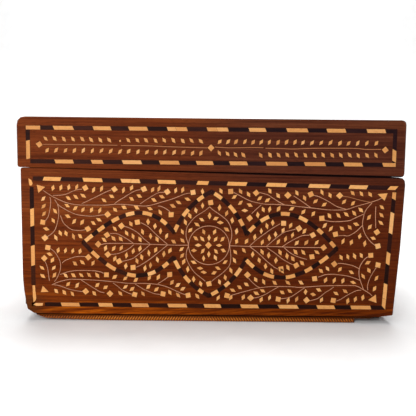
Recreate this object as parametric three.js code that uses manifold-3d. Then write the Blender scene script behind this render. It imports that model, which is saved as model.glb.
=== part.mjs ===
// A long wooden box inlaid with bone: a hollow carcass, a lid that lifts off, a carved rope moulding
// under the carcass that is broken off at both front corners, and flush bands of bone and dark wood.
// Millimetres, +Z up. The front faces -Y. The origin is on the surface under the middle of the box.
import * as THREE from "three";
import { mergeVertices } from "three/addons/utils/BufferGeometryUtils.js";
import Module from "manifold-3d";

// The box as a whole
const LID_LENGTH = 402;
const BOX_DEPTH = 270;
const BOX_HEIGHT = 214.4;
const EDGE_WEAR = 1.2;

// The boards
const WALL = 11;
const FLOOR = 8;
const LID_BOARD = 10;

// A thin board under the carcass, set back on every side, that the rope moulding is fixed to
const BASE_BOARD = 2.6;
const BASE_INSET = 3.5;
const BASE_END_INSET = 7.5;
const BASE_LEFT_SLANT = 2;
const BASE_RIGHT_SLANT = 16;

// The saw cut that parts the lid from the carcass drops towards the right
const CUT_HEIGHT_LEFT = 162.1;
const CUT_DROP = 6.6;
const LID_CLEARANCE = 0.3;

// The carcass is shorter than the lid, stands a little to the right of it, and its right end leans in
const CARCASS_SHORTFALL = 1.5;
const CARCASS_SHIFT = 3.1;
const RIGHT_END_LEAN = 7.8;
const RIGHT_END_BELLY = 1.2;

// The left end is worn in towards the foot, and both bottom corners are worn off at a slant
const LEFT_FOOT_WEAR = 4.3;
const LEFT_FOOT_WEAR_HEIGHT = 30;
const LEFT_CORNER_WEAR = 7.6;
const LEFT_CORNER_WEAR_HEIGHT = 4.8;
const RIGHT_CORNER_WEAR = 13;
const RIGHT_CORNER_WEAR_HEIGHT = 1.7;

// Worn corners of the outline, as radii
const LID_TOP_LEFT_CORNER = 9;
const LID_TOP_RIGHT_CORNER = 5;
const LID_BOTTOM_LEFT_CORNER = 2.5;
const LID_BOTTOM_RIGHT_CORNER = 4;
const CARCASS_TOP_LEFT_CORNER = 2.5;
const CARCASS_TOP_RIGHT_CORNER = 7.5;
const CARCASS_BOTTOM_CORNER = 1.5;

// The rope moulding
const ROPE_HEIGHT = 4.8;
const ROPE_THICKNESS = 8;
const ROPE_INSET = 2;
const ROPE_END_INSET = 6;
const STRAND_PITCH = 2.9;
const STRAND_RELIEF = 0.9;
const STRAND_LEAN = 2.4;
const LEAN_TURN = 30;
const ROPE_FRONT_LEFT_BREAK = 20;
const ROPE_FRONT_RIGHT_BREAK = 42.4;
const ROPE_SIDE_BREAK = 22;
const BREAK_SLANT = 9;
const WORN_FOOT = 2;
const WORN_RUN = 70;

// The inlaid bands
const BAND_WIDTH = 3.9;
const BAND_DEPTH = 2;
const BAND_CLEARANCE = 0.3;
const BAND_MARGIN = 8.2;
const LID_BAND_MARGINS = { right: 9.8, above: 9.4, left: 9.8 };
const CARCASS_BAND_MARGINS = { right: 8.9, above: 9.1, left: 9.6 };
const LID_BAND_RISE = 4.5;

// The four-lobed medallion on the front, as distances from its centre. It was cut by hand, so each quarter
// has its own height, taken at the curve's control point, and fullness.
const MEDALLION_HALF_LENGTH = 133;
const MEDALLION_RISE = 57;
const MEDALLION_DROP = 53.5;
const LOBES = [
  { side: 1, up: 1, height: 56, fullness: 0.55 },
  { side: -1, up: 1, height: 54, fullness: 0.42 },
  { side: -1, up: -1, height: 52, fullness: 0.56 },
  { side: 1, up: -1, height: 50, fullness: 0.5 },
];
const NOTCH_X = 38;
const NOTCH_Z = 13.3;
const MEDALLION_HEIGHT = 81.9;
const MEDALLION_SHIFT = -0.2;

// Where the medallion's curves turn, as shares of the notch, the tip and the half length
const POINT_TURN_OUT = 0.68;
const POINT_TURN_UP = 0.76;
const LOBE_SHOULDER = 0.8;
const LOBE_CROWN = 0.54;
const RIBBON_STEPS = 10;

// How far a cutting form runs on past the face that it cuts
const CUT_OVERRUN = 20;

const wasm = await Module();
wasm.setup();

// A closed three.js geometry as a solid for cutting and joining
function solid(geometry) {
  const bare = geometry.index ? geometry.toNonIndexed() : geometry.clone();
  bare.deleteAttribute("normal");
  bare.deleteAttribute("uv");
  const merged = mergeVertices(bare, 1e-4);
  return new wasm.Manifold(
    new wasm.Mesh({
      numProp: 3,
      vertProperties: merged.attributes.position.array,
      triVerts: new Uint32Array(merged.index.array),
    }),
  );
}

// A solid as a geometry again
function geometryOf(made) {
  const { vertProperties, triVerts } = made.getMesh();
  return new THREE.BufferGeometry()
    .setAttribute("position", new THREE.BufferAttribute(vertProperties, 3))
    .setIndex(new THREE.BufferAttribute(triVerts, 1));
}

// Heights of the saw cut, measured along X from the lid's left end
function cutHeight(x) {
  return CUT_HEIGHT_LEFT - (CUT_DROP * x) / LID_LENGTH;
}

// A closed outline with its corners rounded: each corner is [x, z, radius]
function roundedOutline(corners) {
  const shape = new THREE.Shape();
  corners.forEach(([x, z, radius], i) => {
    const corner = new THREE.Vector2(x, z);
    const last = corners[(i + corners.length - 1) % corners.length];
    const next = corners[(i + 1) % corners.length];
    const toLast = new THREE.Vector2(last[0], last[1]).sub(corner);
    const toNext = new THREE.Vector2(next[0], next[1]).sub(corner);
    const start = toLast.setLength(radius).add(corner);
    const end = toNext.setLength(radius).add(corner);
    if (i === 0) shape.moveTo(start.x, start.y);
    else shape.lineTo(start.x, start.y);
    if (radius > 0) shape.quadraticCurveTo(corner.x, corner.y, end.x, end.y);
  });
  shape.closePath();
  return shape;
}

// A shape drawn in X and Z, as a solid from y = from to y = to
function alongY(shape, from, to, wear = 0) {
  const geometry = new THREE.ExtrudeGeometry(shape, {
    depth: to - from - 2 * wear,
    curveSegments: 3,
    bevelEnabled: wear > 0,
    bevelThickness: wear,
    bevelSize: wear,
    bevelOffset: -wear,
    bevelSegments: 2,
  });
  geometry.rotateX(Math.PI / 2).translate(0, to - wear, 0);
  return solid(geometry);
}

// A shape drawn in Y and Z, as a solid from x = from to x = to
function alongX(shape, from, to) {
  const geometry = new THREE.ExtrudeGeometry(shape, { depth: to - from, bevelEnabled: false });
  geometry.rotateX(Math.PI / 2).rotateZ(Math.PI / 2).translate(from, 0, 0);
  return solid(geometry);
}

// A shape drawn in X and Y, as a solid from z = from to z = to
function alongZ(shape, from, to) {
  const geometry = new THREE.ExtrudeGeometry(shape, { depth: to - from, bevelEnabled: false });
  geometry.translate(0, 0, from);
  return solid(geometry);
}

const FRONT = -BOX_DEPTH / 2;
const BACK = BOX_DEPTH / 2;
const CARCASS_LEFT = CARCASS_SHIFT;
const CARCASS_RIGHT = CARCASS_SHIFT + LID_LENGTH - CARCASS_SHORTFALL;
const CARCASS_BOTTOM = ROPE_HEIGHT + BASE_BOARD;

// The carcass's right end at a height
function rightEnd(z) {
  const top = cutHeight(CARCASS_RIGHT);
  const down = (top - z) / (top - CARCASS_BOTTOM);
  return CARCASS_RIGHT - RIGHT_END_LEAN * down + 4 * RIGHT_END_BELLY * down * (1 - down);
}

// Corners of the carcass's front, from the bottom left, anticlockwise
function carcassFront() {
  const middle = (CARCASS_BOTTOM + cutHeight(CARCASS_RIGHT)) / 2;
  const rightCorner = CARCASS_BOTTOM + RIGHT_CORNER_WEAR_HEIGHT;
  return [
    [CARCASS_LEFT + LEFT_FOOT_WEAR + LEFT_CORNER_WEAR, CARCASS_BOTTOM, CARCASS_BOTTOM_CORNER],
    [rightEnd(CARCASS_BOTTOM) - RIGHT_CORNER_WEAR, CARCASS_BOTTOM, CARCASS_BOTTOM_CORNER],
    [rightEnd(rightCorner), rightCorner, CARCASS_BOTTOM_CORNER],
    [rightEnd(middle), middle, 0],
    [CARCASS_RIGHT, cutHeight(CARCASS_RIGHT), CARCASS_TOP_RIGHT_CORNER],
    [CARCASS_LEFT, cutHeight(CARCASS_LEFT), CARCASS_TOP_LEFT_CORNER],
    [CARCASS_LEFT, CARCASS_BOTTOM + LEFT_FOOT_WEAR_HEIGHT, LEFT_FOOT_WEAR_HEIGHT / 2],
    [CARCASS_LEFT + LEFT_FOOT_WEAR, CARCASS_BOTTOM + LEFT_CORNER_WEAR_HEIGHT, CARCASS_BOTTOM_CORNER],
  ];
}

// Corners of the lid's front, from the bottom left, anticlockwise
function lidFront() {
  return [
    [0, cutHeight(0) + LID_CLEARANCE, LID_BOTTOM_LEFT_CORNER],
    [LID_LENGTH, cutHeight(LID_LENGTH) + LID_CLEARANCE, LID_BOTTOM_RIGHT_CORNER],
    [LID_LENGTH, BOX_HEIGHT, LID_TOP_RIGHT_CORNER],
    [0, BOX_HEIGHT, LID_TOP_LEFT_CORNER],
  ];
}

// A four-sided outline moved in by a margin on each side: below, right, above and left
function inset(corners, margins) {
  const sides = corners.map((from, i) => {
    const to = corners[(i + 1) % corners.length];
    const along = new THREE.Vector2(to[0] - from[0], to[1] - from[1]).normalize();
    const inward = new THREE.Vector2(-along.y, along.x).multiplyScalar(margins[i]);
    return { at: new THREE.Vector2(from[0], from[1]).add(inward), along };
  });
  return sides.map((side, i) => {
    const last = sides[(i + sides.length - 1) % sides.length];
    const gap = side.at.clone().sub(last.at);
    const run = gap.cross(side.along) / last.along.cross(side.along);
    return last.along.clone().multiplyScalar(run).add(last.at).toArray();
  });
}

// A four-sided frame of the band's width, grown by a clearance on both sides
function frameShape(corners, grow) {
  const without = inset(corners, Array(4).fill(-grow));
  const shape = new THREE.Shape(without.map(([u, v]) => new THREE.Vector2(u, v)));
  const within = inset(corners, Array(4).fill(BAND_WIDTH + grow));
  shape.holes.push(new THREE.Path(within.map(([u, v]) => new THREE.Vector2(u, v))));
  return shape;
}

// A band let in flush, with the groove that takes it, which runs out past the face. cutter(grow) gives the
// band's prism, and inward is the direction into the board.
function letIn(outer, inward, cutter) {
  const under = (depth) => outer.translate(...inward.map((share) => share * depth));
  return {
    band: cutter(0).intersect(outer).subtract(under(BAND_DEPTH)),
    groove: cutter(BAND_CLEARANCE).subtract(under(BAND_DEPTH + BAND_CLEARANCE)),
  };
}

// The frames of bands on the front, the back and both ends of the carcass or the lid
function sideBands(outer, front, ends, { right, above, left }) {
  const frontBand = inset(front, [BAND_MARGIN, right, above, left]);
  const endMargins = [BAND_MARGIN, BAND_MARGIN, above, BAND_MARGIN];
  const endFace = ([low, high]) => [[FRONT, low], [BACK, low], [BACK, high], [FRONT, high]];
  const half = LID_LENGTH / 2;
  const leftBand = inset(endFace(ends.left), endMargins);
  const rightBand = inset(endFace(ends.right), endMargins);
  const farEnd = CARCASS_RIGHT + CUT_OVERRUN;
  return {
    front: letIn(outer, [0, 1, 0], (grow) => alongY(frameShape(frontBand, grow), FRONT - CUT_OVERRUN, 0)),
    back: letIn(outer, [0, -1, 0], (grow) => alongY(frameShape(frontBand, grow), 0, BACK + CUT_OVERRUN)),
    left: letIn(outer, [1, 0, 0], (grow) => alongX(frameShape(leftBand, grow), -CUT_OVERRUN, half)),
    right: letIn(outer, [-1, 0, 0], (grow) => alongX(frameShape(rightBand, grow), half, farEnd)),
  };
}

// A strip of the band's width along a curve, as a shape
function ribbon(curve, grow) {
  const half = BAND_WIDTH / 2 + grow;
  const over = [];
  const under = [];
  for (let i = 0; i <= RIBBON_STEPS; i++) {
    const at = curve.getPointAt(i / RIBBON_STEPS);
    const along = curve.getTangentAt(i / RIBBON_STEPS);
    const end = i === 0 ? -1 : i === RIBBON_STEPS ? 1 : 0;
    at.addScaledVector(along, end * (half / 2));
    over.push(new THREE.Vector2(at.x - along.y * half, at.y + along.x * half));
    under.unshift(new THREE.Vector2(at.x + along.y * half, at.y - along.x * half));
  }
  return new THREE.Shape(over.concat(under));
}

// The medallion's outline: two curves in each quarter, from a tip to the notch between two lobes
function medallionCurves() {
  const tilt = Math.atan2(-CUT_DROP, LID_LENGTH);
  const curves = [];
  for (const { side, up, height, fullness } of LOBES) {
    const place = (x, z) =>
      new THREE.Vector2(side * x, up * z)
        .rotateAround(new THREE.Vector2(), tilt)
        .add(new THREE.Vector2(LID_LENGTH / 2 + MEDALLION_SHIFT, MEDALLION_HEIGHT));
    const tip = up > 0 ? MEDALLION_RISE : MEDALLION_DROP;
    const notch = place(NOTCH_X, NOTCH_Z);
    const turn = place(NOTCH_X * POINT_TURN_OUT, tip * POINT_TURN_UP);
    const shoulder = place(MEDALLION_HALF_LENGTH * LOBE_SHOULDER, height * fullness);
    const crown = place(MEDALLION_HALF_LENGTH * LOBE_CROWN, height);
    curves.push(new THREE.QuadraticBezierCurve(place(0, tip), turn, notch));
    curves.push(new THREE.CubicBezierCurve(place(MEDALLION_HALF_LENGTH, 0), shoulder, crown, notch));
  }
  return curves;
}

function medallion(outer) {
  return letIn(outer, [0, 1, 0], (grow) =>
    medallionCurves()
      .map((curve) => alongY(ribbon(curve, grow), FRONT - CUT_OVERRUN, 0))
      .reduce((all, one) => all.add(one)),
  );
}

// The thin board under the carcass
function baseBoard() {
  const left = CARCASS_LEFT + LEFT_FOOT_WEAR + BASE_END_INSET;
  const right = rightEnd(CARCASS_BOTTOM) - BASE_END_INSET;
  const joined = CARCASS_BOTTOM + FLOOR / 2;
  const shape = new THREE.Shape([
    new THREE.Vector2(left + BASE_LEFT_SLANT, ROPE_HEIGHT),
    new THREE.Vector2(right - BASE_RIGHT_SLANT, ROPE_HEIGHT),
    new THREE.Vector2(right, CARCASS_BOTTOM),
    new THREE.Vector2(right, joined),
    new THREE.Vector2(left, joined),
    new THREE.Vector2(left, CARCASS_BOTTOM),
  ]);
  return alongY(shape, FRONT + BASE_INSET, BACK - BASE_INSET);
}

// The carcass: the outer form less its inside, with the grooves cut
function makeCarcass() {
  const outer = alongY(roundedOutline(carcassFront()), FRONT, BACK, EDGE_WEAR);
  const floor = CARCASS_BOTTOM + FLOOR;
  const rim = cutHeight(0) + CUT_OVERRUN;
  const slope = (rightEnd(cutHeight(CARCASS_RIGHT)) - rightEnd(floor)) / (cutHeight(CARCASS_RIGHT) - floor);
  const inside = new THREE.Shape([
    new THREE.Vector2(CARCASS_LEFT + WALL, floor),
    new THREE.Vector2(rightEnd(floor) - WALL, floor),
    new THREE.Vector2(rightEnd(floor) - WALL + slope * (rim - floor), rim),
    new THREE.Vector2(CARCASS_LEFT + WALL, rim),
  ]);
  const face = [
    [CARCASS_LEFT, CARCASS_BOTTOM],
    [rightEnd(CARCASS_BOTTOM), CARCASS_BOTTOM],
    [CARCASS_RIGHT, cutHeight(CARCASS_RIGHT)],
    [CARCASS_LEFT, cutHeight(CARCASS_LEFT)],
  ];
  const ends = {
    left: [CARCASS_BOTTOM, cutHeight(CARCASS_LEFT)],
    right: [CARCASS_BOTTOM, cutHeight(CARCASS_RIGHT)],
  };
  const bands = sideBands(outer, face, ends, CARCASS_BAND_MARGINS);
  bands.medallion = medallion(outer);
  const hollow = outer.subtract(alongY(inside, FRONT + WALL, BACK - WALL));
  const boards = Object.values(bands).reduce((left, { groove }) => left.subtract(groove), hollow);
  return { body: boards.add(baseBoard()), bands };
}

// The lid: the same, opening downwards, with a frame of bands on its top too
function makeLid() {
  const outer = alongY(roundedOutline(lidFront()), FRONT, BACK, EDGE_WEAR);
  const under = cutHeight(LID_LENGTH) - CUT_OVERRUN;
  const inside = new THREE.Shape([
    new THREE.Vector2(WALL, under),
    new THREE.Vector2(LID_LENGTH - WALL, under),
    new THREE.Vector2(LID_LENGTH - WALL, BOX_HEIGHT - LID_BOARD),
    new THREE.Vector2(WALL, BOX_HEIGHT - LID_BOARD),
  ]);
  const foot = cutHeight(0) + LID_BAND_RISE - BAND_MARGIN;
  const face = [[0, foot], [LID_LENGTH, foot], [LID_LENGTH, BOX_HEIGHT], [0, BOX_HEIGHT]];
  const ends = { left: [foot, BOX_HEIGHT], right: [foot, BOX_HEIGHT] };
  const bands = sideBands(outer, face, ends, LID_BAND_MARGINS);
  const board = [[0, FRONT], [LID_LENGTH, FRONT], [LID_LENGTH, BACK], [0, BACK]];
  const top = inset(board, Array(4).fill(BAND_MARGIN));
  bands.top = letIn(outer, [0, 0, -1], (grow) =>
    alongZ(frameShape(top, grow), BOX_HEIGHT - LID_BOARD / 2, BOX_HEIGHT + CUT_OVERRUN),
  );
  const hollow = outer.subtract(alongY(inside, FRONT + WALL, BACK - WALL));
  return { body: Object.values(bands).reduce((left, { groove }) => left.subtract(groove), hollow), bands };
}

// A length of rope moulding along X, its carved side towards -Y. lean(x) says how far a strand's foot
// stands to the right of its head.
function rope(length, lean) {
  const strands = Math.round(length / STRAND_PITCH);
  const outline = [];
  for (let i = 0; i <= 2 * strands; i++) {
    const relief = i % 2 ? 0 : STRAND_RELIEF;
    outline.push(new THREE.Vector2((length * i) / (2 * strands), relief));
  }
  outline.push(new THREE.Vector2(length, ROPE_THICKNESS), new THREE.Vector2(0, ROPE_THICKNESS));
  const geometry = new THREE.ExtrudeGeometry(new THREE.Shape(outline), {
    depth: ROPE_HEIGHT,
    bevelEnabled: false,
  });
  const place = geometry.attributes.position;
  for (let i = 0; i < place.count; i++) {
    if (place.getZ(i) === 0) place.setX(i, place.getX(i) + lean(place.getX(i)));
  }
  return solid(geometry);
}

// The four lengths. The strands of the front one lean away from its middle. Its left end is worn to a slant,
// and its underside is worn up towards that end.
function makeRopes() {
  const left = CARCASS_LEFT + LEFT_FOOT_WEAR;
  const right = rightEnd(CARCASS_BOTTOM);
  const frontStart = left + ROPE_FRONT_LEFT_BREAK - BREAK_SLANT;
  const frontLength = right - ROPE_FRONT_RIGHT_BREAK + STRAND_LEAN - frontStart;
  const frontLean = (x) => STRAND_LEAN * THREE.MathUtils.clamp((frontLength / 2 - x) / LEAN_TURN, -1, 1);
  const wornOff = new THREE.Shape([
    new THREE.Vector2(frontStart - CUT_OVERRUN, ROPE_HEIGHT),
    new THREE.Vector2(frontStart - CUT_OVERRUN, -CUT_OVERRUN),
    new THREE.Vector2(frontStart + WORN_RUN, -CUT_OVERRUN),
    new THREE.Vector2(frontStart + WORN_RUN, 0),
    new THREE.Vector2(frontStart + BREAK_SLANT, WORN_FOOT),
    new THREE.Vector2(frontStart, ROPE_HEIGHT),
  ]);
  const ropeFront = FRONT + ROPE_INSET;
  const ropeBack = BACK - ROPE_INSET;
  const front = rope(frontLength, frontLean)
    .translate(frontStart, ropeFront, 0)
    .subtract(alongY(wornOff, FRONT, 0));
  const straight = () => 0;
  const backLength = right - left - 2 * ROPE_END_INSET;
  const back = rope(backLength, straight)
    .rotate(0, 0, 180)
    .translate(right - ROPE_END_INSET, ropeBack, 0);
  const sideStart = FRONT + ROPE_SIDE_BREAK;
  const sideLength = ropeBack - ROPE_THICKNESS - BAND_CLEARANCE - sideStart;
  const leftSide = rope(sideLength, straight)
    .rotate(0, 0, -90)
    .translate(left + ROPE_END_INSET, sideStart + sideLength, 0);
  const rightSide = rope(sideLength, straight)
    .rotate(0, 0, 90)
    .translate(right - ROPE_END_INSET, sideStart, 0);
  return { front, back, left: leftSide, right: rightSide };
}

const WOOD = { color: 0x6b3419, roughness: 0.55, metalness: 0 };
const ROPE_WOOD = { color: 0x7d3d12, roughness: 0.6, metalness: 0 };
const INLAY = { color: 0xe3a866, roughness: 0.5, metalness: 0 };

const box = new THREE.Group();

function add(name, made, look) {
  const mesh = new THREE.Mesh(geometryOf(made), new THREE.MeshStandardMaterial(look));
  mesh.name = name;
  box.add(mesh);
}

const carcass = makeCarcass();
const lid = makeLid();
add("carcass", carcass.body, WOOD);
add("lid", lid.body, WOOD);
for (const [side, { band }] of Object.entries(carcass.bands)) add(`carcass_inlay_${side}`, band, INLAY);
for (const [side, { band }] of Object.entries(lid.bands)) add(`lid_inlay_${side}`, band, INLAY);
for (const [side, made] of Object.entries(makeRopes())) add(`rope_moulding_${side}`, made, ROPE_WOOD);

// The outlines are drawn from the lid's left end, and the origin is under the middle of the whole length
const boxMiddle = new THREE.Box3().setFromObject(box).getCenter(new THREE.Vector3());
box.children.forEach((mesh) => mesh.geometry.translate(-boxMiddle.x, 0, 0));

export default box;
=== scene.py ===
import math
import random

import bpy
import numpy as np
from mathutils import Matrix, Vector


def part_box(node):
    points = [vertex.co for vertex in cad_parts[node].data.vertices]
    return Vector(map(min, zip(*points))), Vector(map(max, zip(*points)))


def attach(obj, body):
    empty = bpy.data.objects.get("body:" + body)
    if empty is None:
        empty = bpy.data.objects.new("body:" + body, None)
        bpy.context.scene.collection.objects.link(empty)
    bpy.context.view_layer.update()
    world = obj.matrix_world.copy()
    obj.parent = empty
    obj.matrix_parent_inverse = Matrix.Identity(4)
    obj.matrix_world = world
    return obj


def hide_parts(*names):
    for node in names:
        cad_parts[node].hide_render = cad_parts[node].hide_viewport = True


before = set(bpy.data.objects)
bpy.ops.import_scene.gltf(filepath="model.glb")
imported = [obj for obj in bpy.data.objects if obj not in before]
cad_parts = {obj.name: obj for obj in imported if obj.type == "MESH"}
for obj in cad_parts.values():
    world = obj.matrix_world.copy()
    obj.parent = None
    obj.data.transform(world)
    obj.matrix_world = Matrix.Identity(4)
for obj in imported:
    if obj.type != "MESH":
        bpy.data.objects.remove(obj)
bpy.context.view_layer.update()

MM = 0.001

# The box's outline
LID_LENGTH = 402.0
BOX_DEPTH = 270.0
BOX_HEIGHT = 214.4
ROPE_HEIGHT = 4.8
BASE_BOARD = 2.6
CUT_HEIGHT_LEFT = 162.1
CUT_DROP = 6.6
CARCASS_SHIFT = 3.1
CARCASS_SHORTFALL = 1.5
RIGHT_END_LEAN = 7.8
RIGHT_END_BELLY = 1.2
LID_BAND_RISE = 4.5

# Heights in the pattern are counted from this far above the surface that the box stands on
PATTERN_BASE = 1.4

# The carcass's underside, and the middle of the saw cut, above the surface
CARCASS_FOOT = ROPE_HEIGHT + BASE_BOARD
CUT_HEIGHT_MIDDLE = CUT_HEIGHT_LEFT - CUT_DROP / 2
PALE_STREAK_HEIGHT = 29.0

# The inlay. Margins of the bands are in the order below, right, above and left.
BAND_WIDTH = 3.9
BAND_DEPTH = 2.0
BAND_MARGINS = (8.2, 8.2, 8.2, 8.2)
CARCASS_MARGINS = (8.2, 8.9, 9.1, 9.6)
CARCASS_END_MARGINS = (8.2, 8.2, 9.1, 8.2)
LID_MARGINS = (8.2, 9.8, 9.4, 9.8)
LID_END_MARGINS = (8.2, 8.2, 9.4, 8.2)
GROOVE_CLEARANCE = 0.3
FILLER_LEVEL = -0.15
FILLER_BELOW = 0.2
SHORTEST_DARK_PIECE = 1.0
PIECE_GAP = 0.1
BAND_PROUD = 0.1
PATCH_LEVEL = 0.02
LEAF_PROUD = 0.14
WIRE_PROUD = 0.12
WIRE_WIDTH = 0.7
LID_WIRE_WIDTH = 0.85
MASTIC_PROUD = 0.05
MASTIC_RIM = 0.25
MASTIC_CHAMFER = 0.1
SET_DEPTH = 0.5
CHAMFER = 0.15
LEAF_HALF_LENGTH = 3.55
LEAF_HALF_WIDTH = 1.9
SQUARE_SIDE = 5.15

# The medallion's outline, as distances from its centre
MEDALLION_HALF_LENGTH = 133.0
MEDALLION_RISE = 57.0
MEDALLION_DROP = 53.5
MEDALLION_CENTRE = (-0.2, 80.5)
NOTCH = (38.0, 13.3)

# Where the medallion's curves turn, as shares of the notch, the tip and the half length
POINT_TURN_OUT = 0.68
POINT_TURN_UP = 0.76
LOBE_SHOULDER = 0.8
LOBE_CROWN = 0.54

lid_low, lid_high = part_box("lid")
LID_MIDDLE = (lid_low.x + lid_high.x) / 2 / MM
chance = random.Random(7)


def cut_height(x):
    """Height of the saw cut between lid and carcass in the pattern, x from the lid's middle."""
    return CUT_HEIGHT_LEFT - PATTERN_BASE - CUT_DROP * (x + LID_LENGTH / 2) / LID_LENGTH


CARCASS_LEFT = CARCASS_SHIFT - LID_LENGTH / 2
CARCASS_RIGHT = CARCASS_SHIFT - CARCASS_SHORTFALL + LID_LENGTH / 2
CARCASS_BOTTOM = ROPE_HEIGHT + BASE_BOARD - PATTERN_BASE
LID_TOP = BOX_HEIGHT - PATTERN_BASE


def right_end(z):
    """The carcass's right end at a height: it leans in, in two flat stretches."""
    top = cut_height(CARCASS_RIGHT)
    middle = (top + CARCASS_BOTTOM) / 2
    foot_x = CARCASS_RIGHT - RIGHT_END_LEAN
    middle_x = CARCASS_RIGHT - RIGHT_END_LEAN / 2 + RIGHT_END_BELLY
    if z > middle:
        return middle_x + (CARCASS_RIGHT - middle_x) * (z - middle) / (top - middle)
    return foot_x + (middle_x - foot_x) * (z - CARCASS_BOTTOM) / (middle - CARCASS_BOTTOM)


# Faces: each turns a point across and up the face, and out of it, into a place in metres
def on_front(u, v, out):
    return ((u + LID_MIDDLE) * MM, (-BOX_DEPTH / 2 - out) * MM, (v + PATTERN_BASE) * MM)


def on_back(u, v, out):
    return ((-u + LID_MIDDLE) * MM, (BOX_DEPTH / 2 + out) * MM, (v + PATTERN_BASE) * MM)


def on_carcass_left(u, v, out):
    return ((CARCASS_LEFT + LID_MIDDLE - out) * MM, -u * MM, (v + PATTERN_BASE) * MM)


def on_carcass_right(u, v, out):
    return ((right_end(v) + LID_MIDDLE + out) * MM, u * MM, (v + PATTERN_BASE) * MM)


def on_lid_left(u, v, out):
    return ((LID_MIDDLE - LID_LENGTH / 2 - out) * MM, -u * MM, (v + PATTERN_BASE) * MM)


def on_lid_right(u, v, out):
    return ((LID_MIDDLE + LID_LENGTH / 2 + out) * MM, u * MM, (v + PATTERN_BASE) * MM)


def on_lid_top(u, v, out):
    return ((u + LID_MIDDLE) * MM, v * MM, (BOX_HEIGHT + out) * MM)


# Outlines in a face
def grown(points, by):
    """A closed anticlockwise outline with each side moved out by a distance."""
    moved = []
    for i, here in enumerate(points):
        last = points[i - 1]
        after = points[(i + 1) % len(points)]
        a = np.array(here, float) - last
        b = np.array(after, float) - here
        a /= np.hypot(*a)
        b /= np.hypot(*b)
        out = np.array((a[1] + b[1], -a[0] - b[0]))
        share = max(1 + a @ b, 0.35)
        moved.append(tuple(np.array(here) + out * by / share))
    return moved


def tube_faces(start, n):
    """The faces between a section of n points and the next one."""
    return [[start + i, start + n + i, start + n + (i + 1) % n, start + (i + 1) % n] for i in range(n)]


def anticlockwise(points):
    area = sum(p[0] * q[1] - q[0] * p[1] for p, q in zip(points, points[1:] + points[:1]))
    return points if area > 0 else points[::-1]


class Inlay:
    """Many small pieces of one material, gathered into one mesh."""

    def __init__(self, name, material, slot):
        self.name = name
        self.material = material
        self.slot = slot
        self.places = []
        self.faces = []
        self.tones = []
        self.turns = []

    def add(self, places, faces, tone, turn):
        start = len(self.places)
        self.places += places
        self.faces += [[start + i for i in face] for face in faces]
        self.tones += [tone] * len(faces)
        self.turns += [turn] * len(faces)

    def plate(self, face, outline, proud, depth, chamfer=CHAMFER, tone=None, turn=0.0):
        """A flat piece let into a face, with a worn upper edge."""
        outline = anticlockwise(outline)
        n = len(outline)
        top = grown(outline, -chamfer)
        levels = [(outline, -depth), (outline, proud - chamfer / 3), (top, proud)]
        places = [face(u, v, out) for ring, out in levels for u, v in ring]
        faces = [list(range(n))[::-1], list(range(2 * n, 3 * n))]
        for level in (0, n):
            for i in range(n):
                after = (i + 1) % n
                faces.append([level + i, level + after, level + n + after, level + n + i])
        self.add(places, faces, chance.random() if tone is None else tone, turn)

    def strip(self, face, line, width, proud, depth, tone=None):
        """A wire or a thin line of filler along a smooth line, with a low crown."""
        line = np.array(line, float)
        along = np.gradient(line, axis=0)
        along /= np.hypot(along[:, 0], along[:, 1])[:, None]
        across = np.stack((-along[:, 1], along[:, 0]), 1)
        edge = proud * 0.3
        section = [(-0.5, -depth), (-0.5, edge), (-0.22, proud), (0.22, proud), (0.5, edge), (0.5, -depth)]
        places = []
        for at, side in zip(line, across):
            for share, out in section:
                u, v = at + side * share * width
                places.append(face(u, v, out))
        n = len(section)
        last = n * (len(line) - 1)
        faces = [list(range(n)), list(range(last, last + n))[::-1]]
        for i in range(len(line) - 1):
            faces += tube_faces(n * i, n)
        self.add(places, faces, chance.random() if tone is None else tone, 0.0)

    def build(self):
        mesh = bpy.data.meshes.new(self.name)
        mesh.from_pydata(self.places, [], self.faces)
        for name, values in (("tone", self.tones), ("turn", self.turns)):
            mesh.attributes.new(name, "FLOAT", "FACE").data.foreach_set("value", values)
        mesh.materials.append(self.material)
        mesh.update()
        piece = bpy.data.objects.new(self.name, mesh)
        bpy.context.scene.collection.objects.link(piece)
        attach(piece, "root")
        return piece


# Curves
def smooth(points, step=1.6):
    """A smooth line through given points, as close points."""
    points = [np.array(p, float) for p in points]
    if len(points) == 2:
        count = max(2, int(np.hypot(*(points[1] - points[0])) / step))
        return [points[0] + (points[1] - points[0]) * i / count for i in range(count + 1)]
    guided = [2 * points[0] - points[1], *points, 2 * points[-1] - points[-2]]
    line = []
    for a, b, c, d in zip(guided, guided[1:], guided[2:], guided[3:]):
        count = max(2, int(np.hypot(*(c - b)) / step))
        for i in range(count):
            t = i / count
            line.append(0.5 * (2 * b + (c - a) * t + (2 * a - 5 * b + 4 * c - d) * t * t
                               + (3 * b - a - 3 * c + d) * t ** 3))
    return line + [points[-1]]


def bezier(*corners):
    """A Bezier curve through its first and last corner, as 200 short steps."""
    t = np.linspace(0, 1, 201)[:, None]
    corners = [np.array(c, float) for c in corners]
    while len(corners) > 1:
        corners = [(1 - t) * a + t * b for a, b in zip(corners, corners[1:])]
    return corners[0]


# The rows of bone and dark wood
def inset(corners, margins):
    """A four-sided outline moved in by a margin on each side: below, right, above and left."""
    sides = []
    for i, margin in enumerate(margins):
        start = np.array(corners[i], float)
        along = np.array(corners[(i + 1) % 4]) - start
        along /= np.hypot(*along)
        sides.append((start + margin * np.array((-along[1], along[0])), along))
    moved = []
    for i, (at, along) in enumerate(sides):
        before, last = sides[i - 1]
        gap = at - before
        run = (gap[0] * along[1] - gap[1] * along[0]) / (last[0] * along[1] - last[1] * along[0])
        moved.append(before + last * run)
    return moved


def cut_at(side, place, lean):
    """A cut across a band: where it meets the centre line and how far it leans for each millimetre across."""
    start, end = side
    axis = 0 if abs(end[0] - start[0]) > abs(end[1] - start[1]) else 1
    along = (end - start) / np.hypot(*(end - start))
    return (place - start[axis]) / along[axis], lean


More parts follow.
